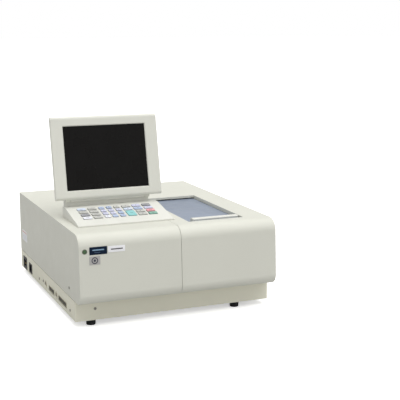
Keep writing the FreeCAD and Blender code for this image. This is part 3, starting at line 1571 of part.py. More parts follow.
def make_fan_rotor():
    """Hub with pitched blades, each a thin plate turned about its own radius."""
    rear = PANEL_FACE + " - Dims.rotor_behind"
    backwards = Y_AXIS * -1
    spot = ("Dims.fan_x", rear, "Dims.fan_z")
    hub = cylinder("rotor_hub", spot, backwards, "Dims.fan_hub", "Dims.rotor_deep")
    bore = cylinder(
        "rotor_bore",
        ("Dims.fan_x", rear + " + Dims.overlap", "Dims.fan_z"),
        backwards,
        "Dims.pin_radius + Dims.axle_play",
        "Dims.rotor_deep + Dims.overlap * 2",
    )
    blade_long = value("Dims.fan_blade - Dims.fan_hub + Dims.blade_buried")
    wide, thick = value("Dims.blade_wide"), value("Dims.blade_plate")
    depth = value(rear) - value("Dims.rotor_deep") / 2
    middle = FreeCAD.Vector(value("Dims.fan_x"), depth, value("Dims.fan_z"))
    blades = []
    for i in range(FAN_BLADES):
        corner = FreeCAD.Vector(-wide / 2, -thick / 2, value("Dims.fan_hub - Dims.blade_buried"))
        blade = Part.makeBox(wide, thick, blade_long, corner)
        blade.rotate(FreeCAD.Vector(), Z_AXIS, 90 + value("Dims.blade_pitch"))
        blade.rotate(FreeCAD.Vector(), Y_AXIS, 360 * i / FAN_BLADES)
        blade.translate(middle)
        item = doc.addObject("Part::Feature", "blade%d" % i)
        item.Shape = blade
        blades.append(item)
    keep(cut("rotor", fuse("rotor_whole", [hub] + blades), bore), "fan_rotor")


# ---------------------------------------------------------------- assembly

def make_all():
    make_base_chassis()
    make_rubber_feet()
    make_left_cover()
    make_right_cover()
    make_sample_lid()
    make_keyboard_housing()
    for place_of_key in key_places():
        make_key(*place_of_key)
    make_display_bezel()
    make_display_back()
    make_lcd_panel()
    make_hinge_pins()
    make_power_lamp()
    make_label_plates()
    make_power_inlet()
    make_power_switch()
    make_switch_rocker()
    make_port_connectors()
    make_case_screws()
    make_optics_bench()
    make_cell_holder()
    make_source_lamps()
    make_turning_plate("source_mirror", "Dims.mirror_x", "Dims.mirror_y", "30", "26")
    make_turning_plate("diffraction_grating", "Dims.turret_x", "Dims.turret_y", "36", "32")
    make_filter_wheel()
    make_fixed_mirrors()
    make_detectors()
    make_main_board()
    make_power_supply()
    make_fan_frame()
    make_fan_rotor()


def check_all():
    """Stop when any object failed or any sub-part has no valid shape."""
    doc.recompute()
    for item in doc.Objects:
        if "Invalid" in item.State or "Error" in item.State:
            raise RuntimeError("%s failed: %s" % (item.Name, item.State))
    for item in subparts:
        if item.Shape.isNull() or not item.Shape.isValid() or not item.Shape.Solids:
            raise RuntimeError("%s has no valid solid" % item.Label)


make_all()
check_all()
os.makedirs("parts", exist_ok=True)
for item in subparts:
    item.Shape.exportStep("parts/%s.step" % item.Label)
print(len(subparts), "sub-parts written")
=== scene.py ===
"""Looks of the bench-top spectrophotometer: finishes for the CAD parts, detailed stand-ins, and the studio.

Everything is in metres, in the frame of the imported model: +Z up, front towards -Y, bench at z = 0.
"""

import json
import math

import bmesh
import bpy
from mathutils import Matrix, Vector


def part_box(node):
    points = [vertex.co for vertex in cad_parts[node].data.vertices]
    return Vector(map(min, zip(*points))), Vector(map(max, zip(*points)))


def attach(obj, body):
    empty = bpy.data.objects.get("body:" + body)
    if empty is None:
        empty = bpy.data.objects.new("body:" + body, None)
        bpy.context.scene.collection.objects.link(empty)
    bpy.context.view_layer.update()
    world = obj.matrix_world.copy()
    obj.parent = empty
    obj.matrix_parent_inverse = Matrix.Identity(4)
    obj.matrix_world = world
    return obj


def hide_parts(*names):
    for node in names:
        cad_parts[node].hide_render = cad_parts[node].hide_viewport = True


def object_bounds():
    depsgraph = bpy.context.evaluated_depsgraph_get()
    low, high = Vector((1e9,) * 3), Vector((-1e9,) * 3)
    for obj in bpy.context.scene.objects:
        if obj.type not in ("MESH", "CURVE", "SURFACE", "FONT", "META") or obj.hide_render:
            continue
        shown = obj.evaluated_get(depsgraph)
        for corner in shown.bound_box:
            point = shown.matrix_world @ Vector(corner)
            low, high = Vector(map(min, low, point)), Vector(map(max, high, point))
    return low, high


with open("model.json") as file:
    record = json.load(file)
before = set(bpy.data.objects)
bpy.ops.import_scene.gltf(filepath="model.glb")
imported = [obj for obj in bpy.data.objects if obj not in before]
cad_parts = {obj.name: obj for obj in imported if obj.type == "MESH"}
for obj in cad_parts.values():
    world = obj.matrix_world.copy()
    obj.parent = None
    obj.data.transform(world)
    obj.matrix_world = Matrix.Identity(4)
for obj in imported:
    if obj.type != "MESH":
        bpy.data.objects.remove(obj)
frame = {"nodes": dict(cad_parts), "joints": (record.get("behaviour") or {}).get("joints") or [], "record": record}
CAD_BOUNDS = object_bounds()
NODES = frame["nodes"]
MM = 0.001


# ---------------------------------------------------------------- reading the frame

def joint(name):
    """The record's joint of that name."""
    return next(j for j in frame["joints"] if j["name"] == name)


SAME_POINT = 0.001 * MM


def solids_of(node):
    """The separate shells of a node, each as a list of its points, from left to right."""
    mesh = bmesh.new()
    mesh.from_mesh(NODES[node].data)
    bmesh.ops.remove_doubles(mesh, verts=mesh.verts, dist=SAME_POINT)
    waiting = set(mesh.verts)
    solids = []
    while waiting:
        edge_of_search = [waiting.pop()]
        found = []
        while edge_of_search:
            vertex = edge_of_search.pop()
            found.append(vertex.co.copy())
            for edge in vertex.link_edges:
                other = edge.other_vert(vertex)
                if other in waiting:
                    waiting.remove(other)
                    edge_of_search.append(other)
        solids.append(found)
    mesh.free()
    return sorted(solids, key=lambda points: sum(p.x for p in points) / len(points))


def extent(points, turn=None):
    """Lowest and highest corner of some points, measured in a turned frame when one is given."""
    if turn is not None:
        points = [turn @ p for p in points]
    low = Vector([min(p[i] for p in points) for i in range(3)])
    high = Vector([max(p[i] for p in points) for i in range(3)])
    return low, high


def node_points(node):
    return [v.co.copy() for v in NODES[node].data.vertices]


PRESS = Vector(joint("key_0_press")["axis"]).normalized()
KEY_SLOPE = math.atan2(PRESS.y, -PRESS.z)
LEVEL_KEYS = Matrix.Rotation(-KEY_SLOPE, 3, "X")
TILT_KEYS = Matrix.Rotation(KEY_SLOPE, 4, "X")
# Frames for a fitting on each wall: X along the wall, Y up and Z out of it.
FACE_LEFT = Matrix(((0, 0, -1, 0), (-1, 0, 0, 0), (0, 1, 0, 0), (0, 0, 0, 1)))
FACE_FRONT = Matrix.Rotation(math.pi / 2, 4, "X")
FACE_REAR = Matrix.Rotation(math.pi, 4, "Z") @ FACE_FRONT
FACE_RIGHT = Matrix(((0, 0, 1, 0), (1, 0, 0, 0), (0, 1, 0, 0), (0, 0, 0, 1)))


# ---------------------------------------------------------------- finishes

WEAR_REACH = 0.7 * MM
SHADE_REACH = 5.0 * MM
# How strongly a finish's wear shows as lighter edges, and its painted shade as darker hollows.
EDGE_SHOW = 5.0
SHADE_SHOW = 5.0
EDGE_LIGHTER = 1.25
HOLLOW_SHADE_DARKER = 0.6
# Bumps per metre of the cloudy colour and of the smudges that change the shine.
CLOUD_SCALE = 9.0
SMUDGE_SCALE = 28.0
SHINE_SPREAD = 0.08
COAT_ROUGHNESS = 0.08
MASK_SAMPLES = 4


def tone(red, green, blue):
    """A colour given as 8-bit display values, as linear light."""
    def linear(level):
        share = level / 255
        return share / 12.92 if share <= 0.04045 else ((share + 0.055) / 1.055) ** 2.4
    return (linear(red), linear(green), linear(blue), 1.0)


def scaled(colour, factor):
    """A colour made lighter or darker."""
    return tuple(min(1.0, level * factor) for level in colour[:3]) + (1.0,)


def ramp(tree, source, stops):
    """A colour ramp node fed by a socket, with (place, colour) stops."""
    node = tree.nodes.new("ShaderNodeValToRGB")
    node.color_ramp.elements[0].position = stops[0][0]
    node.color_ramp.elements[0].color = stops[0][1]
    node.color_ramp.elements[1].position = stops[-1][0]
    node.color_ramp.elements[1].color = stops[-1][1]
    for place, colour in stops[1:-1]:
        node.color_ramp.elements.new(place).color = colour
    tree.links.new(source, node.inputs["Fac"])
    return node.outputs["Color"]


def noise(tree, place, scale, detail=3.0, roughness=0.55):
    """A noise value at a number of bumps per metre."""
    node = tree.nodes.new("ShaderNodeTexNoise")
    node.inputs["Scale"].default_value = scale
    node.inputs["Detail"].default_value = detail
    node.inputs["Roughness"].default_value = roughness
    tree.links.new(place, node.inputs["Vector"])
    return node.outputs["Fac"]


def grey(level):
    return (level, level, level, 1.0)


def mix(tree, share, first, second):
    """Mixes two colours (sockets or values) by a share socket."""
    node = tree.nodes.new("ShaderNodeMix")
    node.data_type = "RGBA"
    tree.links.new(share, node.inputs[0])
    for index, colour in ((6, first), (7, second)):
        if isinstance(colour, tuple):
            node.inputs[index].default_value = colour
        else:
            tree.links.new(colour, node.inputs[index])
    return node.outputs[2]


def edge_mask(tree):
    """White along edges, found where the normal changes within a short reach."""
    bevel = tree.nodes.new("ShaderNodeBevel")
    bevel.samples = MASK_SAMPLES
    bevel.inputs["Radius"].default_value = WEAR_REACH
    flat = tree.nodes.new("ShaderNodeNewGeometry").outputs["Normal"]
    likeness = tree.nodes.new("ShaderNodeVectorMath")
    likeness.operation = "DOT_PRODUCT"
    tree.links.new(bevel.outputs["Normal"], likeness.inputs[0])
    tree.links.new(flat, likeness.inputs[1])
    return ramp(tree, likeness.outputs["Value"], [(0.90, grey(1.0)), (0.995, grey(0.0))])


def hollow_shade_mask(tree):
    """White in narrow hollows and joints, where painted shade darkens the colour."""
    shade = tree.nodes.new("ShaderNodeAmbientOcclusion")
    shade.samples = MASK_SAMPLES
    shade.inputs["Distance"].default_value = SHADE_REACH
    return ramp(tree, shade.outputs["AO"], [(0.15, grey(1.0)), (0.85, grey(0.0))])


def times(tree, source, factor):
    """A value socket multiplied by a number."""
    node = tree.nodes.new("ShaderNodeMath")
    node.operation = "MULTIPLY"
    node.inputs[1].default_value = factor
    tree.links.new(source, node.inputs[0])
    return node.outputs[0]


def finish(name, colour, roughness, grain=900.0, bump=0.06, mottle=0.04, wear=0.05,
           metallic=0.0, specular=0.5, coat=0.0, streak=None, depth=0.05):
    """A moulded, painted or metal surface.

    It has cloudy colour and roughness, a fine grain in relief, lighter worn edges and hollows
    darkened as painted shade. grain is in bumps per metre and depth in millimetres. streak
    stretches the grain along one axis, for brushed or extruded metal. wear sets both
    the edge wear and the painted shade.
    """
    material = bpy.data.materials.new(name)
    material.use_nodes = True
    tree = material.node_tree
    shader = tree.nodes["Principled BSDF"]
    place = tree.nodes.new("ShaderNodeTexCoord").outputs["Object"]
    if streak is not None:
        stretch = tree.nodes.new("ShaderNodeMapping")
        stretch.inputs["Scale"].default_value = streak
        tree.links.new(place, stretch.inputs["Vector"])
        place = stretch.outputs["Vector"]
    clouds = noise(tree, place, CLOUD_SCALE, detail=4.0)
    specks = noise(tree, place, grain)
    cloudy = ramp(tree, clouds, [(0.3, scaled(colour, 1 - mottle)), (0.7, scaled(colour, 1 + mottle))])
    worn = times(tree, edge_mask(tree), wear * EDGE_SHOW)
    # Painted shade: narrow hollows found by ambient occlusion are darkened in the base colour.
    painted_shade = times(tree, hollow_shade_mask(tree), wear * SHADE_SHOW)
    base = mix(tree, worn, cloudy, scaled(colour, EDGE_LIGHTER))
    base = mix(tree, painted_shade, base, scaled(colour, HOLLOW_SHADE_DARKER))
    tree.links.new(base, shader.inputs["Base Color"])
    smudges = noise(tree, place, SMUDGE_SCALE, detail=5.0)
    low = max(0.0, roughness - SHINE_SPREAD)
    high = min(1.0, roughness + SHINE_SPREAD)
    shine = ramp(tree, smudges, [(0.35, grey(low)), (0.65, grey(high))])
    tree.links.new(shine, shader.inputs["Roughness"])
    relief = tree.nodes.new("ShaderNodeBump")
    relief.inputs["Strength"].default_value = bump
    relief.inputs["Distance"].default_value = depth * MM
    tree.links.new(specks, relief.inputs["Height"])
    tree.links.new(relief.outputs["Normal"], shader.inputs["Normal"])
    shader.inputs["Metallic"].default_value = metallic
    shader.inputs["Specular IOR Level"].default_value = specular
    shader.inputs["Coat Weight"].default_value = coat
    shader.inputs["Coat Roughness"].default_value = COAT_ROUGHNESS
    return material


def glass(name, colour, roughness=0.05, glow=0.0):
    """Tinted clear plastic or glass, faintly lit from within when it glows."""
    material = finish(name, colour, roughness, grain=300.0, bump=0.02, mottle=0.06, coat=0.6)
    shader = material.node_tree.nodes["Principled BSDF"]
    shader.inputs["Transmission Weight"].default_value = 0.25
    shader.inputs["Emission Color"].default_value = colour
    shader.inputs["Emission Strength"].default_value = glow
    return material


FINISHES = {}


def add_finish(name, red, green, blue, roughness, **look):
    """Keeps a finish under the name of the material slot that it is for."""
    FINISHES[name] = finish(name, tone(red, green, blue), roughness, **look)


# Paint and moulded plastic of the case.
add_finish("cover_paint", 213, 213, 202, 0.52, grain=1400.0, bump=0.25, mottle=0.012)
add_finish("chassis_paint", 234, 232, 214, 0.55, grain=1400.0, bump=0.25, mottle=0.015)
add_finish("lid_blue_grey", 140, 150, 166, 0.38, grain=1600.0, bump=0.15, mottle=0.015)
add_finish("keyboard_plastic", 221, 221, 213, 0.5, grain=1500.0, bump=0.2, mottle=0.01)
add_finish("display_plastic", 220, 220, 210, 0.48, grain=1500.0, bump=0.2, mottle=0.01)
add_finish("screen_dark", 20, 19, 18, 0.3, grain=2400.0, bump=0.05, mottle=0.05, specular=0.12)

# Fittings.
add_finish("foot_rubber", 28, 28, 30, 0.85, grain=2200.0, bump=0.4, mottle=0.15)
add_finish("screw_steel", 150, 148, 140, 0.34, grain=2600.0, metallic=0.8, wear=0.08)
add_finish("label_film", 240, 240, 242, 0.35, grain=500.0, bump=0.04)
add_finish("black_plastic", 30, 30, 32, 0.45, grain=1800.0, bump=0.2, mottle=0.1)
add_finish("port_metal", 222, 218, 200, 0.3, grain=1200.0, metallic=0.6, streak=(1.0, 0.1, 1.0))
FINISHES["lamp_green"] = glass("lamp_green", tone(62, 104, 58), glow=0.03)

# The works inside.
add_finish("cast_alloy", 165, 167, 168, 0.5, grain=500.0, bump=0.3, metallic=0.7)
add_finish("black_anodised", 34, 34, 37, 0.4, grain=2000.0, metallic=0.5)
add_finish("mirror_coat", 205, 210, 214, 0.08, grain=3000.0, bump=0.01, metallic=1.0)
add_finish("board_green", 28, 92, 58, 0.4, grain=600.0, bump=0.3, mottle=0.1)
add_finish("supply_case", 150, 152, 152, 0.35, grain=1200.0, metallic=0.8)
FINISHES["lamp_glass"] = glass("lamp_glass", tone(225, 230, 235))

# The keys' tops. The skirt below each is the same colour darkened, as painted shade on the key's sides.
KEY_TONES = {
    "key_pale_blue": (210, 220, 236),
    "key_grey": (194, 194, 189),
    "key_dark_grey": (156, 157, 161),
    "key_white": (230, 232, 240),
    "key_blue": (180, 194, 220),
    "key_lavender": (206, 208, 230),
    "key_teal": (146, 206, 206),
    "key_red": (226, 158, 164),
    "key_green": (132, 178, 162),
}
SKIRT_PAINTED_SHADE = 0.55
SHADED_SKIRTS = {}
for slot, (red, green, blue) in KEY_TONES.items():
    add_finish(slot, red, green, blue, 0.5, grain=1800.0, bump=0.2)
    # Painted shade: each skirt finish is a darkened copy of its key's top colour.
    dark = scaled(tone(red, green, blue), SKIRT_PAINTED_SHADE)
    SHADED_SKIRTS[slot] = finish(slot + "_painted_shade_skirt", dark, 0.55, grain=1800.0, bump=0.2)


def ink(name, red, green, blue, roughness=0.45, grain=900.0, bump=0.05, specular=0.5):
    """A smooth printed or filled-in colour."""
    return finish(name, tone(red, green, blue), roughness, grain=grain, bump=bump, specular=specular)


KEY_INK = ink("ink", 58, 60, 72, roughness=0.6, grain=2500.0, bump=0.1)
NAVY_INK = ink("navy_ink", 5, 27, 50, roughness=0.4, specular=0.15)
BLUE_INK = ink("blue_ink", 132, 164, 190)
DARK_BLUE_INK = ink("dark_blue_ink", 72, 96, 122)
PALE_INK = ink("pale_ink", 206, 214, 226)
PINK_INK = ink("pink_ink", 214, 178, 170)
GREY_INK = ink("grey_ink", 92, 91, 94)
FAINT_INK = ink("faint_ink", 196, 198, 204)
BADGE_GREY = ink("badge_grey", 176, 174, 172)
LAMP_COLLAR = ink("lamp_collar", 86, 98, 76, grain=1800.0, bump=0.1)
PORT_CORE = finish("port_core", tone(74, 72, 62), 0.5, grain=1600.0, bump=0.15)
BRASS = finish("brass", tone(196, 170, 110), 0.3, grain=1500.0, metallic=0.95)


def slot_of(node):
    """The material slot that the record gives a node."""
    return next(p["material_slot"] for p in frame["record"]["subparts"] if p["node"] == node)


# ---------------------------------------------------------------- mesh building

# Steps round a quarter of a corner, up a rounded edge, and round a turned shape.
CORNER_STEPS = 6
EDGE_STEPS = 4
TURNED_STEPS = 40
SMOOTH_UP_TO = 35.0
SMALLEST_CORNER = 0.01 * MM


class Piece:
    """A mesh under construction, made of closed parts that may have different finishes."""

    def __init__(self, name):
        self.name = name
        self.mesh = bmesh.new()
        self.finishes = []

    def index_of(self, material):
        if material not in self.finishes:
            self.finishes.append(material)
        return self.finishes.index(material)

    def loft(self, rings, material, place=Matrix()):
        """Joins rings of points, each as long as the first, and caps both ends."""
        index = self.index_of(material)
        rows = [[self.mesh.verts.new(place @ Vector(p)) for p in ring] for ring in rings]
        count = len(rows[0])
        faces = [self.mesh.faces.new(list(reversed(rows[0]))), self.mesh.faces.new(rows[-1])]
        for lower, upper in zip(rows, rows[1:]):
            for i in range(count):
                j = (i + 1) % count
                faces.append(self.mesh.faces.new((lower[i], lower[j], upper[j], upper[i])))
        for face in faces:
            face.material_index = index
        return self

    def turned(self, profile, material, place=Matrix(), steps=TURNED_STEPS):
        """A turned shape from a profile of (radius, height), bottom to top."""
        angles = [2 * math.pi * i / steps for i in range(steps)]
        rings = [[(r * math.cos(a), r * math.sin(a), z) for a in angles] for r, z in profile]
        return self.loft(rings, material, place)

    def prism(self, outline, low, high, material, place=Matrix()):
        """A flat shape between two heights, from a counterclockwise outline."""
        rings = [[(x, y, z) for x, y in outline] for z in (low, high)]
        return self.loft(rings, material, place)

    def block(self, size, low, high, material, place=Matrix(), corner=0.0, edge=0.0):
        """A rounded block: width and depth, two heights, corner radius and softened edges."""
        return self.loft(soft_rings(size, low, high, corner, edge), material, place)

    def glyph(self, text, size, low, high, material, place=Matrix()):
        """A raised sign in the plain built-in face, centred on the place."""
        curve = bpy.data.curves.new(self.name + "_sign", "FONT")
        curve.body = text
        curve.size = size
        curve.align_x = "CENTER"
        curve.align_y = "CENTER"
        curve.resolution_u = 3
        curve.extrude = (high - low) / 2
        holder = bpy.data.objects.new(self.name + "_sign", curve)
        bpy.context.scene.collection.objects.link(holder)
        bpy.context.view_layer.update()
        sign = holder.evaluated_get(bpy.context.evaluated_depsgraph_get()).to_mesh()
        index = self.index_of(material)
        lift = place @ Matrix.Translation((0, 0, (low + high) / 2))
        verts = [self.mesh.verts.new(lift @ v.co) for v in sign.vertices]
        for polygon in sign.polygons:
            face = self.mesh.faces.new([verts[i] for i in polygon.vertices])
            face.material_index = index
        bpy.data.objects.remove(holder)
        bpy.data.curves.remove(curve)
        return self

    def done(self, body, slot, *nodes):
        """Turns the parts into an object that rides on a body and stands for some CAD nodes."""
        bmesh.ops.remove_doubles(self.mesh, verts=self.mesh.verts, dist=2 * SAME_POINT)
        bmesh.ops.recalc_face_normals(self.mesh, faces=self.mesh.faces)
        data = bpy.data.meshes.new(self.name)
        self.mesh.to_mesh(data)
        self.mesh.free()
        for material in self.finishes:
            data.materials.append(material)
        item = bpy.data.objects.new(self.name, data)
        bpy.context.scene.collection.objects.link(item)
        smooth(item, SMOOTH_UP_TO)
        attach(item, body)
        if nodes:
            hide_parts(*nodes)
        return item


def smooth(item, sharp):
    """Shades smoothly across every edge that bends less than an angle in degrees."""
    item.data.shade_smooth()
    item.data.set_sharp_from_angle(angle=math.radians(sharp))


def rounded_outline(width, depth, corner):
    """Points round a rectangle with round corners, counterclockwise, centred on the origin."""
    corner = max(corner, SMALLEST_CORNER)
    points = []
    for quarter, (sx, sy) in enumerate(((1, 1), (-1, 1), (-1, -1), (1, -1))):
        centre = Vector((sx * (width / 2 - corner), sy * (depth / 2 - corner)))
        for i in range(CORNER_STEPS + 1):
            angle = math.pi / 2 * (quarter + i / CORNER_STEPS)
            points.append((centre.x + corner * math.cos(angle), centre.y + corner * math.sin(angle)))
    return points


def ring_at(size, inset, corner, height):
    """One ring of a rounded rectangle, drawn in by an inset."""
    width, depth = size
    outline = rounded_outline(width - 2 * inset, depth - 2 * inset, corner - inset)
    return [(x, y, height) for x, y in outline]


def quarter_round(edge):
    """Pairs of inset and drop along a rounded edge, from its side to its top."""
    turns = [math.pi / 2 * i / EDGE_STEPS for i in range(EDGE_STEPS + 1)] if edge > 0 else [0.0]
    return [(edge * (1 - math.cos(turn)), edge * (1 - math.sin(turn))) for turn in turns]


def soft_rings(size, low, high, corner, edge):
    """Rings of a rounded block, bottom to top, with its lower and upper edges rounded."""
    rounding = quarter_round(edge)
    lower = [ring_at(size, inset, corner, low + drop) for inset, drop in reversed(rounding)]
    upper = [ring_at(size, inset, corner, high - drop) for inset, drop in rounding]
    return lower + upper


# ---------------------------------------------------------------- CAD parts that stay as they are

CAD_SMOOTH_UP_TO = 32.0


def dress_cad_nodes():
    """Gives every CAD part its finish. Detailed stand-ins take the place of some of them later."""
    for node, item in NODES.items():
        item.data.materials.clear()
        item.data.materials.append(FINISHES[slot_of(node)])
        smooth(item, CAD_SMOOTH_UP_TO)


# ---------------------------------------------------------------- keys

KEY_EDGE = 0.9 * MM
KEY_DISH = 0.45 * MM
KEY_TAPER = 0.35 * MM
KEY_SHOULDER = 0.3 * MM
KEY_TOP_BAND = 1.6 * MM
KEY_CORNER = 2.4 * MM
FLANGE_CORNER = 0.4 * MM
SIGN_RELIEF = 0.05 * MM
SIGN_SIZE = 5.6 * MM
ARROW_SHARE = 0.7
BAR_SHARE = 0.45
BAR_WIDE = 1.0 * MM
BAR_CORNER = 0.3 * MM
DISH_RINGS = 5

SIGNS = {"point": ".", "sign": "±", "clear": "C"}
SIGNS.update({digit: digit for digit in "0123456789"})
ARROW = ((-0.5, -0.35), (0.5, -0.35), (0.0, 0.5))
TURNS = {"up": 0, "left": 90, "down": 180, "right": 270, "back": 90, "start": 270}


def dish_height(share):
    """How far the key's top lies below its rim, at a share of the way from centre to rim."""
    return KEY_DISH * (1 - share ** 2)


def add_key_sign(piece, name, size, floor, place):
    """A digit, an arrow or a plain bar, standing a little over the floor of the dish."""
    low, high = floor - KEY_DISH, floor + 2 * SIGN_RELIEF
    if name in SIGNS:
        piece.glyph(SIGNS[name], SIGN_SIZE, low, high, KEY_INK, place)
    elif name in TURNS:
        turn = place @ Matrix.Rotation(math.radians(TURNS[name]), 4, "Z")
        reach = SIGN_SIZE * ARROW_SHARE
        piece.prism([(x * reach, y * reach) for x, y in ARROW], low, high, KEY_INK, turn)
    else:
        bar = (size[0] * BAR_SHARE, BAR_WIDE)
        piece.block(bar, low, high, KEY_INK, place, corner=BAR_CORNER)


def make_key(node):
    """A cap with a pale dished top and a plain sign, and a skirt with its retaining flange darkened as painted
    shade.
    """
    name = node.removeprefix("key_")
    points = node_points(node)
    low, high = extent(points, LEVEL_KEYS)
    cap = [p for p in points if (LEVEL_KEYS @ p).z > high.z - KEY_TOP_BAND]
    cap_low, cap_high = extent(cap, LEVEL_KEYS)
    flange = [p for p in points if (LEVEL_KEYS @ p).z < low.z + KEY_TOP_BAND]
    flange_top = extent(flange, LEVEL_KEYS)[1].z
    size = (cap_high.x - cap_low.x, cap_high.y - cap_low.y)
    flange_size = (high.x - low.x, high.y - low.y)
    shoulder = high.z - KEY_EDGE - KEY_SHOULDER
    skirt = [
        ring_at(flange_size, 0, FLANGE_CORNER, low.z),
        ring_at(flange_size, 0, FLANGE_CORNER, flange_top),
        ring_at(size, 0, KEY_CORNER, flange_top),
        ring_at(size, 0, KEY_CORNER, shoulder),
        ring_at(size, KEY_TAPER, KEY_CORNER, shoulder + KEY_SHOULDER / 2),
    ]
    rings = [ring_at(size, KEY_TAPER, KEY_CORNER, shoulder)]
    for inset, drop in quarter_round(KEY_EDGE):
        rings.append(ring_at(size, KEY_TAPER + inset, KEY_CORNER, high.z - drop))
    rim = rings[-1]
    for i in range(1, DISH_RINGS + 1):
        share = 1 - i / (DISH_RINGS + 1)
        height = high.z - dish_height(share)
        rings.append([(x * share, y * share, height) for x, y, _ in rim])
    centre = Vector(((low.x + high.x) / 2, (low.y + high.y) / 2, 0))
    place = TILT_KEYS @ Matrix.Translation(centre)
    piece = Piece(node + "_cap")
    # The skirt takes the darkened copy of the key's colour, as painted shade on its sides.
    piece.loft(skirt, SHADED_SKIRTS[slot_of(node)], place)
    piece.loft(rings, FINISHES[slot_of(node)], place)
    add_key_sign(piece, name, size, high.z - KEY_DISH, place)
    piece.done(node, slot_of(node), node)


def make_keys():
    for node in sorted(NODES):
        if node.startswith("key_"):
            make_key(node)


# ---------------------------------------------------------------- lid

LID_EDGE = 0.5 * MM
LID_CORNER = 1.0 * MM
BAR_FRONT_ROUND = 2.0 * MM
BAR_REAR_ROUND = 5.0 * MM
BAR_UNDERCUT = 1.5 * MM
BAR_END_SHRINK = 0.92


def arc(centre, radius, start, end, steps=8):
    """Points along an arc between two angles in degrees."""
    points = []
    for i in range(steps + 1):
        angle = math.radians(start + (end - start) * i / steps)
        points.append((centre[0] + radius * math.cos(angle), centre[1] + radius * math.sin(angle)))
    return points


def make_lid():
    """The coloured sliding panel, and the light bar across it that a hand pulls."""
    points = node_points("sample_lid")
    low, high = extent(points)
    rear_half = [p for p in points if p.y > (low.y + high.y) / 2]
    panel_top = extent(rear_half)[1].z
    bar_low, bar_high = extent([p for p in points if p.z > panel_top + MM])
    middle = Vector(((low.x + high.x) / 2, (low.y + high.y) / 2, 0))
    panel = Piece("lid_panel")
    panel.block(
        (high.x - low.x, high.y - low.y), low.z, panel_top, FINISHES["lid_blue_grey"],
        Matrix.Translation(middle), corner=LID_CORNER, edge=LID_EDGE,
    )
    panel.done("lid", "lid_blue_grey", "sample_lid")

    foot = panel_top - LID_EDGE
    front_centre = (bar_low.y + BAR_FRONT_ROUND, bar_high.z - BAR_FRONT_ROUND)
    rear_centre = (bar_high.y - BAR_REAR_ROUND, bar_high.z - BAR_REAR_ROUND)
    profile = [(bar_low.y + BAR_UNDERCUT, foot)]
    profile += arc(front_centre, BAR_FRONT_ROUND, 200, 90)
    profile += arc(rear_centre, BAR_REAR_ROUND, 90, 0)
    profile += [(bar_high.y, foot)]
    centre_y = (bar_low.y + bar_high.y) / 2
    centre_z = (foot + bar_high.z) / 2
    ends = (
        (bar_low.x, BAR_END_SHRINK), (bar_low.x + LID_EDGE, 1.0),
        (bar_high.x - LID_EDGE, 1.0), (bar_high.x, BAR_END_SHRINK),
    )
    rings = []
    for x, grow in ends:
        rings.append([
            (x, centre_y + (y - centre_y) * grow, centre_z + (z - centre_z) * grow) for y, z in profile
        ])
    bar = Piece("lid_bar")
    bar.loft(rings, FINISHES["keyboard_plastic"])
    bar.done("lid", "keyboard_plastic", "sample_lid")


# ---------------------------------------------------------------- display

GLASS_EDGE = 0.4 * MM
GLASS_CORNER = 1.0 * MM
MASK = 5.0 * MM
ACTIVE_CORNER = 0.5 * MM
ACTIVE_DEEP = 0.5 * MM
ACTIVE_RELIEF = 0.04 * MM


def make_screen():
    """The glass panel: a dark printed mask round the part that lights up."""
    turn = front_frame(node_points("lcd_panel"))
    low, high = extent(node_points("lcd_panel"), turn.inverted().to_3x3())
    size = (high.x - low.x, high.y - low.y)
    centre = Vector(((low.x + high.x) / 2, (low.y + high.y) / 2, 0))
    place = turn @ Matrix.Translation(centre)
    active = (size[0] - 2 * MASK, size[1] - 2 * MASK)
    foot, top = high.z - ACTIVE_DEEP, high.z + ACTIVE_RELIEF
    piece = Piece("screen_glass")
    piece.block(
        size, low.z, high.z, FINISHES["black_plastic"], place, corner=GLASS_CORNER, edge=GLASS_EDGE
    )
    piece.block(active, foot, top, FINISHES["screen_dark"], place, corner=ACTIVE_CORNER)
    piece.done("display", "screen_dark", "lcd_panel")


# ---------------------------------------------------------------- front fittings

def front_frame(points):
    """A frame on a leaning front plate: X to the right, Y up the plate, Z out of it."""
    low, high = extent(points)
    foot = min((p for p in points if p.z < (low.z + high.z) / 2), key=lambda p: p.y)
    head = min((p for p in points if p.z > (low.z + high.z) / 2), key=lambda p: p.y)
    lean = math.atan2(head.y - foot.y, head.z - foot.z)
    return Matrix.Rotation(math.pi / 2 - lean, 4, "X")


PLATE_EDGE = 0.15 * MM
PLATE_CORNER = 0.6 * MM
RATING_CORNER = 1.0 * MM
MARK_SINK = 0.1 * MM

# Marks on a plate: colour, middle and size, the last two as shares of the plate's width and height.
NAME_MARKS = (
    (BLUE_INK, (0.0, 0.1), (0.66, 0.15)),
    (DARK_BLUE_INK, (-0.06, -0.22), (0.34, 0.06)),
)
MODEL_MARKS = ((GREY_INK, (0.02, -0.02), (0.7, 0.2)),)
RATING_HEAD = (PINK_INK, (0.0, 0.36), (0.9, 0.14))
RATING_LINES = tuple((FAINT_INK, (0.0, 0.16 - 0.13 * i), (0.86, 0.05)) for i in range(5))

# The ring on the badge plate, as shares of the plate's height.
RING_STEPS = 32
RING_REACH = 0.34
RING_BLOCK = (0.12, 0.08)
RING_CORE = 0.28


def plate_on(name, points, turn, material, corner):
    """A thin plate in place of a CAD label, with its size and the frame on its face."""
    low, high = extent(points, turn.inverted().to_3x3())
    size = (high.x - low.x, high.y - low.y)
    centre = Vector(((low.x + high.x) / 2, (low.y + high.y) / 2, high.z))
    face = turn @ Matrix.Translation(centre)
    piece = Piece(name)
    piece.block(size, low.z - high.z, 0.0, material, face, corner=corner, edge=PLATE_EDGE)
    return piece, size, face


def mark(piece, place, material, size):
    """A thin raised bar on a plate."""
    piece.block(size, -MARK_SINK, SIGN_RELIEF, material, place, corner=min(size) / 4)


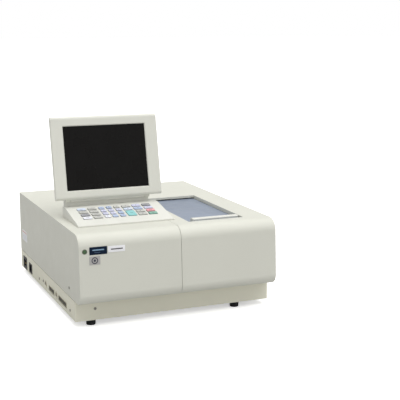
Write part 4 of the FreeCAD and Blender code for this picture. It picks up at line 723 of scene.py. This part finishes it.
def make_plate(name, points, turn, material, corner, marks):
    """A plate with plain bars where printing would be."""
    piece, (wide, tall), face = plate_on(name, points, turn, material, corner)
    for colour, (x, y), (share_wide, share_tall) in marks:
        place = face @ Matrix.Translation((x * wide, y * tall, 0))
        mark(piece, place, colour, (share_wide * wide, share_tall * tall))
    piece.done("cabinet", "label_film", "label_plates")


def make_badge(points, turn):
    """A grey plate with a ring round a dot."""
    piece, (_, tall), face = plate_on("badge_plate", points, turn, BADGE_GREY, PLATE_CORNER)
    block = (RING_BLOCK[0] * tall, RING_BLOCK[1] * tall)
    for i in range(RING_STEPS):
        spin = Matrix.Rotation(2 * math.pi * i / RING_STEPS, 4, "Z")
        place = face @ spin @ Matrix.Translation((RING_REACH * tall, 0, 0))
        piece.block(block, -MARK_SINK, SIGN_RELIEF, KEY_INK, place)
    mark(piece, face, KEY_INK, (RING_CORE * tall, RING_CORE * tall))
    piece.done("cabinet", "label_film", "label_plates")


def make_labels():
    """The plates on the front and the side."""
    rating, badge, name, model = solids_of("label_plates")
    turn = front_frame(name)
    film = FINISHES["label_film"]
    make_plate("name_plate", name, turn, NAVY_INK, PLATE_CORNER, NAME_MARKS)
    make_plate("model_plate", model, turn, film, PLATE_CORNER, MODEL_MARKS)
    make_badge(badge, turn)
    make_plate("rating_plate", rating, FACE_LEFT, film, RATING_CORNER, (RATING_HEAD, *RATING_LINES))


LENS_PROUD = 1.6 * MM
ROD_SHARE = 0.92
DOME_SHARE = 0.86
DOME_STEPS = 6
DOME_END = math.radians(600 / 7)
# The collar's profile: shares of the lamp's radius, and of how far the lens stands proud.
COLLAR_PROFILE = ((1.0, 1.0), (1.22, 1.0), (1.22, 0.65), (1.14, 0.5), (0.9, 0.5))


def make_power_lamp():
    """Domed green lens in a grey-green collar."""
    low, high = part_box("power_lamp")
    radius = (high.x - low.x) / 2
    length = high.y - low.y
    centre = Vector(((low.x + high.x) / 2, low.y, (low.z + high.z) / 2))
    place = Matrix.Translation(centre) @ FACE_FRONT
    dome = [(radius * ROD_SHARE, -length), (radius * ROD_SHARE, -LENS_PROUD)]
    for i in range(DOME_STEPS + 1):
        angle = DOME_END * i / DOME_STEPS
        dome.append((radius * DOME_SHARE * math.cos(angle), LENS_PROUD * (math.sin(angle) - 1)))
    collar = [(radius, -length / 2)]
    collar += [(radius * out, -LENS_PROUD * down) for out, down in COLLAR_PROFILE]
    piece = Piece("power_lamp_lens")
    piece.turned(dome, FINISHES["lamp_green"], place)
    piece.turned(collar, LAMP_COLLAR, place)
    piece.done("cabinet", "lamp_green", "power_lamp")


# ---------------------------------------------------------------- screws and feet

RECESS_POINTS = 48
HEAD_RISE = 1.5 * MM
# Profile of a screw head: shares of its radius and of its rise.
HEAD_PROFILE = ((0.55, -2.0), (0.55, 0.0), (1.0, 0.0), (1.0, 0.35), (0.93, 0.72), (0.78, 0.93), (0.62, 1.0))
# The cross recess at the top and at its floor: how much of its full size, and the share of the rise.
RECESS_PROFILE = ((1.0, 1.0), (0.8, 0.25))
RECESS_REACH = 0.52
RECESS_HALF = 0.14
SCREW_SPIN = 23.0
# Profile of a foot: shares of its radius and of its height, from the hollow sole outwards and up.
FOOT_PROFILE = (
    (0.55, 0.18), (0.72, 0.12), (0.80, 0.02), (0.84, 0.0), (0.90, 0.02), (0.93, 0.10),
    (0.95, 0.45), (0.90, 0.50), (0.90, 0.58), (0.96, 0.63), (1.0, 0.70), (1.0, 1.0),
)


def cross_outline(radius, half_width):
    """Points round a cross-shaped recess, at even angles."""
    points = []
    for i in range(RECESS_POINTS):
        angle = 2 * math.pi * i / RECESS_POINTS
        off_arm = abs((angle + math.pi / 4) % (math.pi / 2) - math.pi / 4)
        reach = radius / math.cos(off_arm)
        if off_arm > 0:
            reach = min(reach, half_width / math.sin(off_arm))
        points.append((reach * math.cos(angle), reach * math.sin(angle)))
    return points


def screw_head(piece, place, radius):
    """A pan head with a cross recess, standing on the local XY plane."""
    angles = [2 * math.pi * i / RECESS_POINTS for i in range(RECESS_POINTS)]
    rings = []
    for share, height in HEAD_PROFILE:
        reach = radius * share
        rings.append([(reach * math.cos(a), reach * math.sin(a), HEAD_RISE * height) for a in angles])
    for grow, height in RECESS_PROFILE:
        cross = cross_outline(radius * RECESS_REACH * grow, radius * RECESS_HALF * grow)
        rings.append([(x, y, HEAD_RISE * height) for x, y in cross])
    piece.loft(rings, FINISHES["screw_steel"], place)


def make_screws():
    """Every case screw, turned to face out of the wall it sits in."""
    centre = (CAD_BOUNDS[0] + CAD_BOUNDS[1]) / 2
    piece = Piece("case_screw_heads")
    for index, points in enumerate(solids_of("case_screws")):
        low, high = extent(points)
        size = high - low
        axis = max(range(3), key=lambda i: size[i])
        head = [i for i in range(3) if i != axis]
        radius = size[head[0]] / 2
        middle = (low + high) / 2
        outward = 1 if middle[axis] > centre[axis] else -1
        tip = high[axis] if outward > 0 else low[axis]
        middle[axis] = tip - outward * HEAD_RISE
        if axis == 0:
            turn = FACE_RIGHT if outward > 0 else FACE_LEFT
        else:
            turn = FACE_REAR if outward > 0 else FACE_FRONT
        spin = Matrix.Rotation(math.radians(SCREW_SPIN * index), 4, "Z")
        screw_head(piece, Matrix.Translation(middle) @ turn @ spin, radius)
    piece.done("cabinet", "screw_steel", "case_screws")


def make_feet():
    """Turned rubber feet with a flared top, a groove and a hollow sole."""
    piece = Piece("feet_rubber")
    for points in solids_of("rubber_feet"):
        low, high = extent(points)
        radius = (high.x - low.x) / 2
        tall = high.z - low.z
        place = Matrix.Translation(((low.x + high.x) / 2, (low.y + high.y) / 2, low.z))
        profile = [(radius * out, tall * up) for out, up in FOOT_PROFILE]
        piece.turned(profile, FINISHES["foot_rubber"], place)
    piece.done("cabinet", "foot_rubber", "rubber_feet")


# ---------------------------------------------------------------- side fittings

# A flat port. Heights are below its face.
LUGS_WIDER = (12 * MM, 4 * MM)
SHELL_WALL = 0.9 * MM
SHELL_CORNER = 3.4 * MM
SHELL_DEEP = 5.5 * MM
FLANGE_WIDER = (1.0 * MM, 0.8 * MM)
FLANGE_TOP = 3.4 * MM
FLANGE_DEEP = 4.6 * MM
FLANGE_ROUND = 2.0 * MM
INSERT_NARROWER = (5 * MM, 5.6 * MM)
INSERT_TOP = 0.9 * MM
INSERT_DEEP = 6.0 * MM
INSERT_CORNER = 1.0 * MM
INSERT_EDGE = 0.3 * MM
SLOT_NARROWER = 3 * MM
SLOT_TALL = 1.3 * MM
SLOT_TOP = 0.85 * MM
SLOT_DEEP = 2.0 * MM
CONTACTS_NARROWER = 4 * MM
CONTACT_TALL = 0.6 * MM
CONTACT_TOP = 0.8 * MM
CONTACT_DEEP = 1.5 * MM

# A round port, in millimetres. Its can: how far in from the rim, and how far below the face.
CAN_PROFILE = ((0.0, 0.3), (0.3, 0.0), (1.3, 0.0), (1.6, 0.4), (1.8, 4.8))
# Its core: share of the can's radius, and depth. Its pins: radius, and depth.
CORE_PROFILE = ((0.62, 5.0), (0.62, 1.4), (0.57, 1.1))
PIN_PROFILE = ((0.5, 2.0), (0.5, 0.7), (0.25, 0.4))
PIN_CIRCLE = 0.36
PIN_STEPS = 12

WIDEST_ROUND_PORT = 30 * MM
LEFT_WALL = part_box("left_cover")[0].x
# The ports from the front: name, and contacts in a row or pins.
FLAT_PORTS = (("printer_port", 18), ("serial_port", 9))
ROUND_PORTS = (("remote_port", 6), ("accessory_port", 5))


def on_left_wall(points):
    """Size of a fitting in the left wall, as width, height and depth, and the frame on its face."""
    low, high = extent(points, FACE_LEFT.inverted().to_3x3())
    centre = Vector(((low.x + high.x) / 2, (low.y + high.y) / 2, high.z))
    return high - low, FACE_LEFT @ Matrix.Translation(centre)


def narrower(size, less):
    """A width and height, each made smaller."""
    return size[0] - less[0], size[1] - less[1]


def cup(piece, size, deep, material, place):
    """The metal shell of a flat port: an open-topped rounded box."""
    soft = SHELL_WALL / 4
    rings = [
        ring_at(size, 0, SHELL_CORNER, -deep),
        ring_at(size, 0, SHELL_CORNER, -soft),
        ring_at(size, soft, SHELL_CORNER, 0),
        ring_at(size, SHELL_WALL - soft, SHELL_CORNER, 0),
        ring_at(size, SHELL_WALL, SHELL_CORNER, -soft),
        ring_at(size, SHELL_WALL, SHELL_CORNER, -SHELL_DEEP),
    ]
    piece.loft(rings, material, place)


def add_contacts(piece, insert, columns, place):
    """Two rows of brass contacts along the long edges of an insert."""
    pitch = (insert[0] - CONTACTS_NARROWER) / (columns - 1)
    row = insert[1] / 2 - CONTACT_TALL
    for i in range(columns):
        along = (i - (columns - 1) / 2) * pitch
        for side in (-1, 1):
            spot = place @ Matrix.Translation((along, side * row, 0))
            piece.block((pitch / 2, CONTACT_TALL), -CONTACT_DEEP, -CONTACT_TOP, BRASS, spot)


def flat_port(points, name, columns):
    """A shielded connector: metal shell with a flange, an insert and two rows of contacts."""
    size, place = on_left_wall(points)
    metal = FINISHES["port_metal"]
    shell = narrower(size, LUGS_WIDER)
    flange = (shell[0] + FLANGE_WIDER[0], shell[1] + FLANGE_WIDER[1])
    insert = narrower(shell, INSERT_NARROWER)
    slot = (insert[0] - SLOT_NARROWER, SLOT_TALL)
    piece = Piece(name)
    cup(piece, shell, size.z, metal, place)
    piece.block(flange, -FLANGE_DEEP, -FLANGE_TOP, metal, place, corner=FLANGE_ROUND)
    piece.block(
        insert, -INSERT_DEEP, -INSERT_TOP, PORT_CORE, place, corner=INSERT_CORNER, edge=INSERT_EDGE
    )
    piece.block(slot, -SLOT_DEEP, -SLOT_TOP, FINISHES["black_plastic"], place)
    add_contacts(piece, insert, columns, place)
    piece.done("cabinet", "port_metal", "port_connectors")


def round_port(points, name, pins):
    """A round connector with a ring of pins in a plastic core."""
    size, place = on_left_wall(points)
    radius = size.x / 2
    can = [(radius, -size.z)] + [(radius - inward * MM, -down * MM) for inward, down in CAN_PROFILE]
    core = [(radius * share, -down * MM) for share, down in CORE_PROFILE]
    pin = [(thick * MM, -down * MM) for thick, down in PIN_PROFILE]
    piece = Piece(name)
    piece.turned(can, FINISHES["port_metal"], place)
    piece.turned(core, FINISHES["black_plastic"], place)
    for i in range(pins):
        angle = 2 * math.pi * i / pins
        out = PIN_CIRCLE * radius
        spot = place @ Matrix.Translation((out * math.cos(angle), out * math.sin(angle), 0))
        piece.turned(pin, BRASS, spot, PIN_STEPS)
    piece.done("cabinet", "port_metal", "port_connectors")


def is_wide(points):
    """True of a flat port."""
    low, high = extent(points)
    return high.y - low.y > WIDEST_ROUND_PORT


def make_ports():
    """The connectors in the left wall. Their hollows are shells too, but don't reach past the wall."""
    shells = [points for points in solids_of("port_connectors") if extent(points)[0].x < LEFT_WALL]
    ports = sorted(shells, key=lambda points: extent(points)[0].y)
    wide = [points for points in ports if is_wide(points)]
    small = [points for points in ports if not is_wide(points)]
    for points, (name, columns) in zip(wide, FLAT_PORTS):
        flat_port(points, name, columns)
    for points, (name, pins) in zip(small, ROUND_PORTS):
        round_port(points, name, pins)


# The mains inlet. Its flange is wider than its body, and stands on the wall.
INLET_FLANGE = 1.0 * MM
INLET_WIDER = (4.4 * MM, 4.4 * MM)
BODY_CORNER = 2.0 * MM
INLET_CORNER = 2.5 * MM
INLET_EDGE = 0.3 * MM
SOCKET_CORNER = 7.5 * MM
# The socket's rounded mouth and its wall: how far in from the body's side, and depth.
SOCKET_PROFILE = ((5.0 * MM, 0.0), (5.4 * MM, 0.5 * MM), (5.6 * MM, 18 * MM))
BLADE_SIZE = (2 * MM, 5 * MM)
BLADE_TOP = 3 * MM
BLADE_DEEP = 19 * MM
BLADE_CORNER = 0.5 * MM
BLADE_EDGE = 0.4 * MM
BLADE_PLACES = ((-7 * MM, -3 * MM), (7 * MM, -3 * MM), (0, 3 * MM))


def make_inlet():
    """The mains inlet: a moulded cup with a flange and three blades."""
    size, place = on_left_wall(node_points("power_inlet"))
    body = narrower(size, INLET_WIDER)
    rings = [
        ring_at(body, 0, BODY_CORNER, -size.z),
        ring_at(body, 0, BODY_CORNER, -INLET_FLANGE),
        ring_at(size.xy, 0, INLET_CORNER, -INLET_FLANGE),
        ring_at(size.xy, 0, INLET_CORNER, -INLET_EDGE),
        ring_at(size.xy, INLET_EDGE, INLET_CORNER, 0),
    ]
    rings += [ring_at(body, inset, SOCKET_CORNER, -down) for inset, down in SOCKET_PROFILE]
    piece = Piece("inlet_socket")
    piece.loft(rings, FINISHES["black_plastic"], place)
    for x, y in BLADE_PLACES:
        blade = place @ Matrix.Translation((x, y, 0))
        piece.block(
            BLADE_SIZE, -BLADE_DEEP, -BLADE_TOP, BRASS, blade, corner=BLADE_CORNER, edge=BLADE_EDGE
        )
    piece.done("cabinet", "black_plastic", "power_inlet")


ROCKER_SHARE = 0.92
ROCKER_FACE = 5.5 * MM
ROCKER_SIGN_SIZE = 6.5 * MM


def make_switch_marks():
    """The usual signs on the two halves of the mains rocker, riding with it."""
    turn = joint("switch_rock")
    pivot = Vector(turn["pos_m"])
    throw = math.radians(turn["range_deg"][1]) / 2
    low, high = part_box("switch_rocker")
    half = (high.y - low.y) / 2 * ROCKER_SHARE
    centre = Matrix.Translation((pivot.x, pivot.y, (low.z + high.z) / 2))
    at_rest = centre @ Matrix.Rotation(-throw, 4, "Z")
    piece = Piece("rocker_signs")
    for side, text in ((1, "O"), (-1, "I")):
        spot = Matrix.Translation((-ROCKER_FACE - half / 2 * math.tan(throw), side * half / 2, 0))
        tilt = Matrix.Rotation(throw * side, 4, "Z")
        place = at_rest @ spot @ tilt @ FACE_LEFT
        piece.glyph(text, ROCKER_SIGN_SIZE, -MARK_SINK, SIGN_RELIEF, PALE_INK, place)
    piece.done("rocker", "black_plastic")


# ---------------------------------------------------------------- CAD parts with softened edges

FLAT_ENOUGH = math.radians(1.0)
SHARP_ENOUGH = math.radians(50)
FAVOUR_LARGE_FACES = 100
# How far each CAD part's edges are rounded.
SOFT_EDGES = {
    "base_chassis": 0.25 * MM,
    "right_cover": 0.3 * MM,
    "left_cover": 0.2 * MM,
    "keyboard_housing": 0.3 * MM,
    "display_back": 0.3 * MM,
    "power_switch": 0.3 * MM,
    "switch_rocker": 0.3 * MM,
    "fan_frame": 0.4 * MM,
    "fan_rotor": 0.2 * MM,
    "cell_holder": 0.4 * MM,
    "optics_bench": 0.5 * MM,
}


def soften_cad_edges():
    """Rounds the sharp edges of CAD parts by modifiers, so that they catch the light."""
    for node, width in SOFT_EDGES.items():
        item = NODES[node]
        weld = item.modifiers.new("weld", "WELD")
        weld.merge_threshold = SAME_POINT
        whole = item.modifiers.new("whole_faces", "DECIMATE")
        whole.decimate_type = "DISSOLVE"
        whole.angle_limit = FLAT_ENOUGH
        bevel = item.modifiers.new("soft_edges", "BEVEL")
        bevel.width = width
        bevel.segments = 2
        bevel.limit_method = "ANGLE"
        bevel.angle_limit = SHARP_ENOUGH
        bevel.use_clamp_overlap = True
        bevel.harden_normals = True
        even = item.modifiers.new("even_shading", "WEIGHTED_NORMAL")
        even.keep_sharp = True
        even.weight = FAVOUR_LARGE_FACES


# ---------------------------------------------------------------- studio

CAMERA_PLACE = Vector((-0.8116, -2.3135, 0.7093))
CAMERA_TURN = (math.radians(79.15), math.radians(-0.11), math.radians(-23.07))
SENSOR_WIDE = 36.0
LENS = 85.2
FLOOR_REACH = 30.0
# How much light the floor throws back at the object, and how much it glows for the camera.
FLOOR_BOUNCE = grey(0.55)
FLOOR_GLOW = grey(0.5)
# Brightness of the surroundings, from level with the bench to overhead.
SKY_STOPS = [(0.0, grey(0.38)), (0.35, grey(0.5)), (1.0, grey(0.95))]
WHITE = grey(1.0)
BLACK = grey(0.0)


def floor_finish():
    """Pale seamless paper. It looks brighter than the light it throws back at the object."""
    paper = tone(250, 250, 250)
    material = finish("floor_paper", paper, 0.9, grain=400.0, bump=0.02, mottle=0.002, wear=0.0)
    tree = material.node_tree
    shader = tree.nodes["Principled BSDF"]
    shader.inputs["Specular IOR Level"].default_value = 0.0
    painted = shader.inputs["Base Color"].links[0].from_socket
    seen = tree.nodes.new("ShaderNodeLightPath").outputs["Is Camera Ray"]
    tree.links.new(mix(tree, seen, FLOOR_BOUNCE, painted), shader.inputs["Base Color"])
    tree.links.new(mix(tree, seen, BLACK, FLOOR_GLOW), shader.inputs["Emission Color"])
    shader.inputs["Emission Strength"].default_value = 1.0
    return material


def make_floor():
    mesh = bmesh.new()
    corners = [(-1, -1), (1, -1), (1, 1), (-1, 1)]
    mesh.faces.new([mesh.verts.new((x * FLOOR_REACH, y * FLOOR_REACH, 0)) for x, y in corners])
    data = bpy.data.meshes.new("floor")
    mesh.to_mesh(data)
    mesh.free()
    data.materials.append(floor_finish())
    floor = bpy.data.objects.new("floor", data)
    bpy.context.scene.collection.objects.link(floor)


def make_sky():
    """White surroundings, brightest overhead; pure white where the camera looks past the floor."""
    world = bpy.data.worlds.new("studio")
    bpy.context.scene.world = world
    world.use_nodes = True
    tree = world.node_tree
    background = tree.nodes["Background"]
    direction = tree.nodes.new("ShaderNodeTexCoord").outputs["Generated"]
    parts = tree.nodes.new("ShaderNodeSeparateXYZ")
    tree.links.new(direction, parts.inputs["Vector"])
    dome = ramp(tree, parts.outputs["Z"], SKY_STOPS)
    seen = tree.nodes.new("ShaderNodeLightPath").outputs["Is Camera Ray"]
    tree.links.new(mix(tree, seen, dome, WHITE), background.inputs["Color"])
    background.inputs["Strength"].default_value = 1.0


def make_lamp(name, strength, spread, elevation, azimuth):
    """A wide, soft sun; angles are in degrees, and azimuth 0 is the front."""
    lamp = bpy.data.lights.new(name, "SUN")
    lamp.energy = strength
    lamp.angle = math.radians(spread)
    item = bpy.data.objects.new(name, lamp)
    item.rotation_euler = (math.radians(90 - elevation), 0, math.radians(azimuth))
    bpy.context.scene.collection.objects.link(item)


def make_camera():
    camera = bpy.data.cameras.new("camera")
    camera.lens = LENS
    camera.sensor_width = SENSOR_WIDE
    item = bpy.data.objects.new("camera", camera)
    item.location = CAMERA_PLACE
    item.rotation_euler = CAMERA_TURN
    bpy.context.scene.collection.objects.link(item)
    bpy.context.scene.camera = item


def make_studio():
    make_floor()
    make_sky()
    make_lamp("overhead", strength=1.6, spread=70.0, elevation=78.0, azimuth=40.0)
    make_lamp("front_right", strength=0.35, spread=60.0, elevation=35.0, azimuth=45.0)
    make_camera()
    bpy.context.scene.view_settings.view_transform = "Standard"


# ---------------------------------------------------------------- everything together

dress_cad_nodes()
soften_cad_edges()
make_keys()
make_lid()
make_screen()
make_labels()
make_power_lamp()
make_screws()
make_feet()
make_ports()
make_inlet()
make_switch_marks()
make_studio()
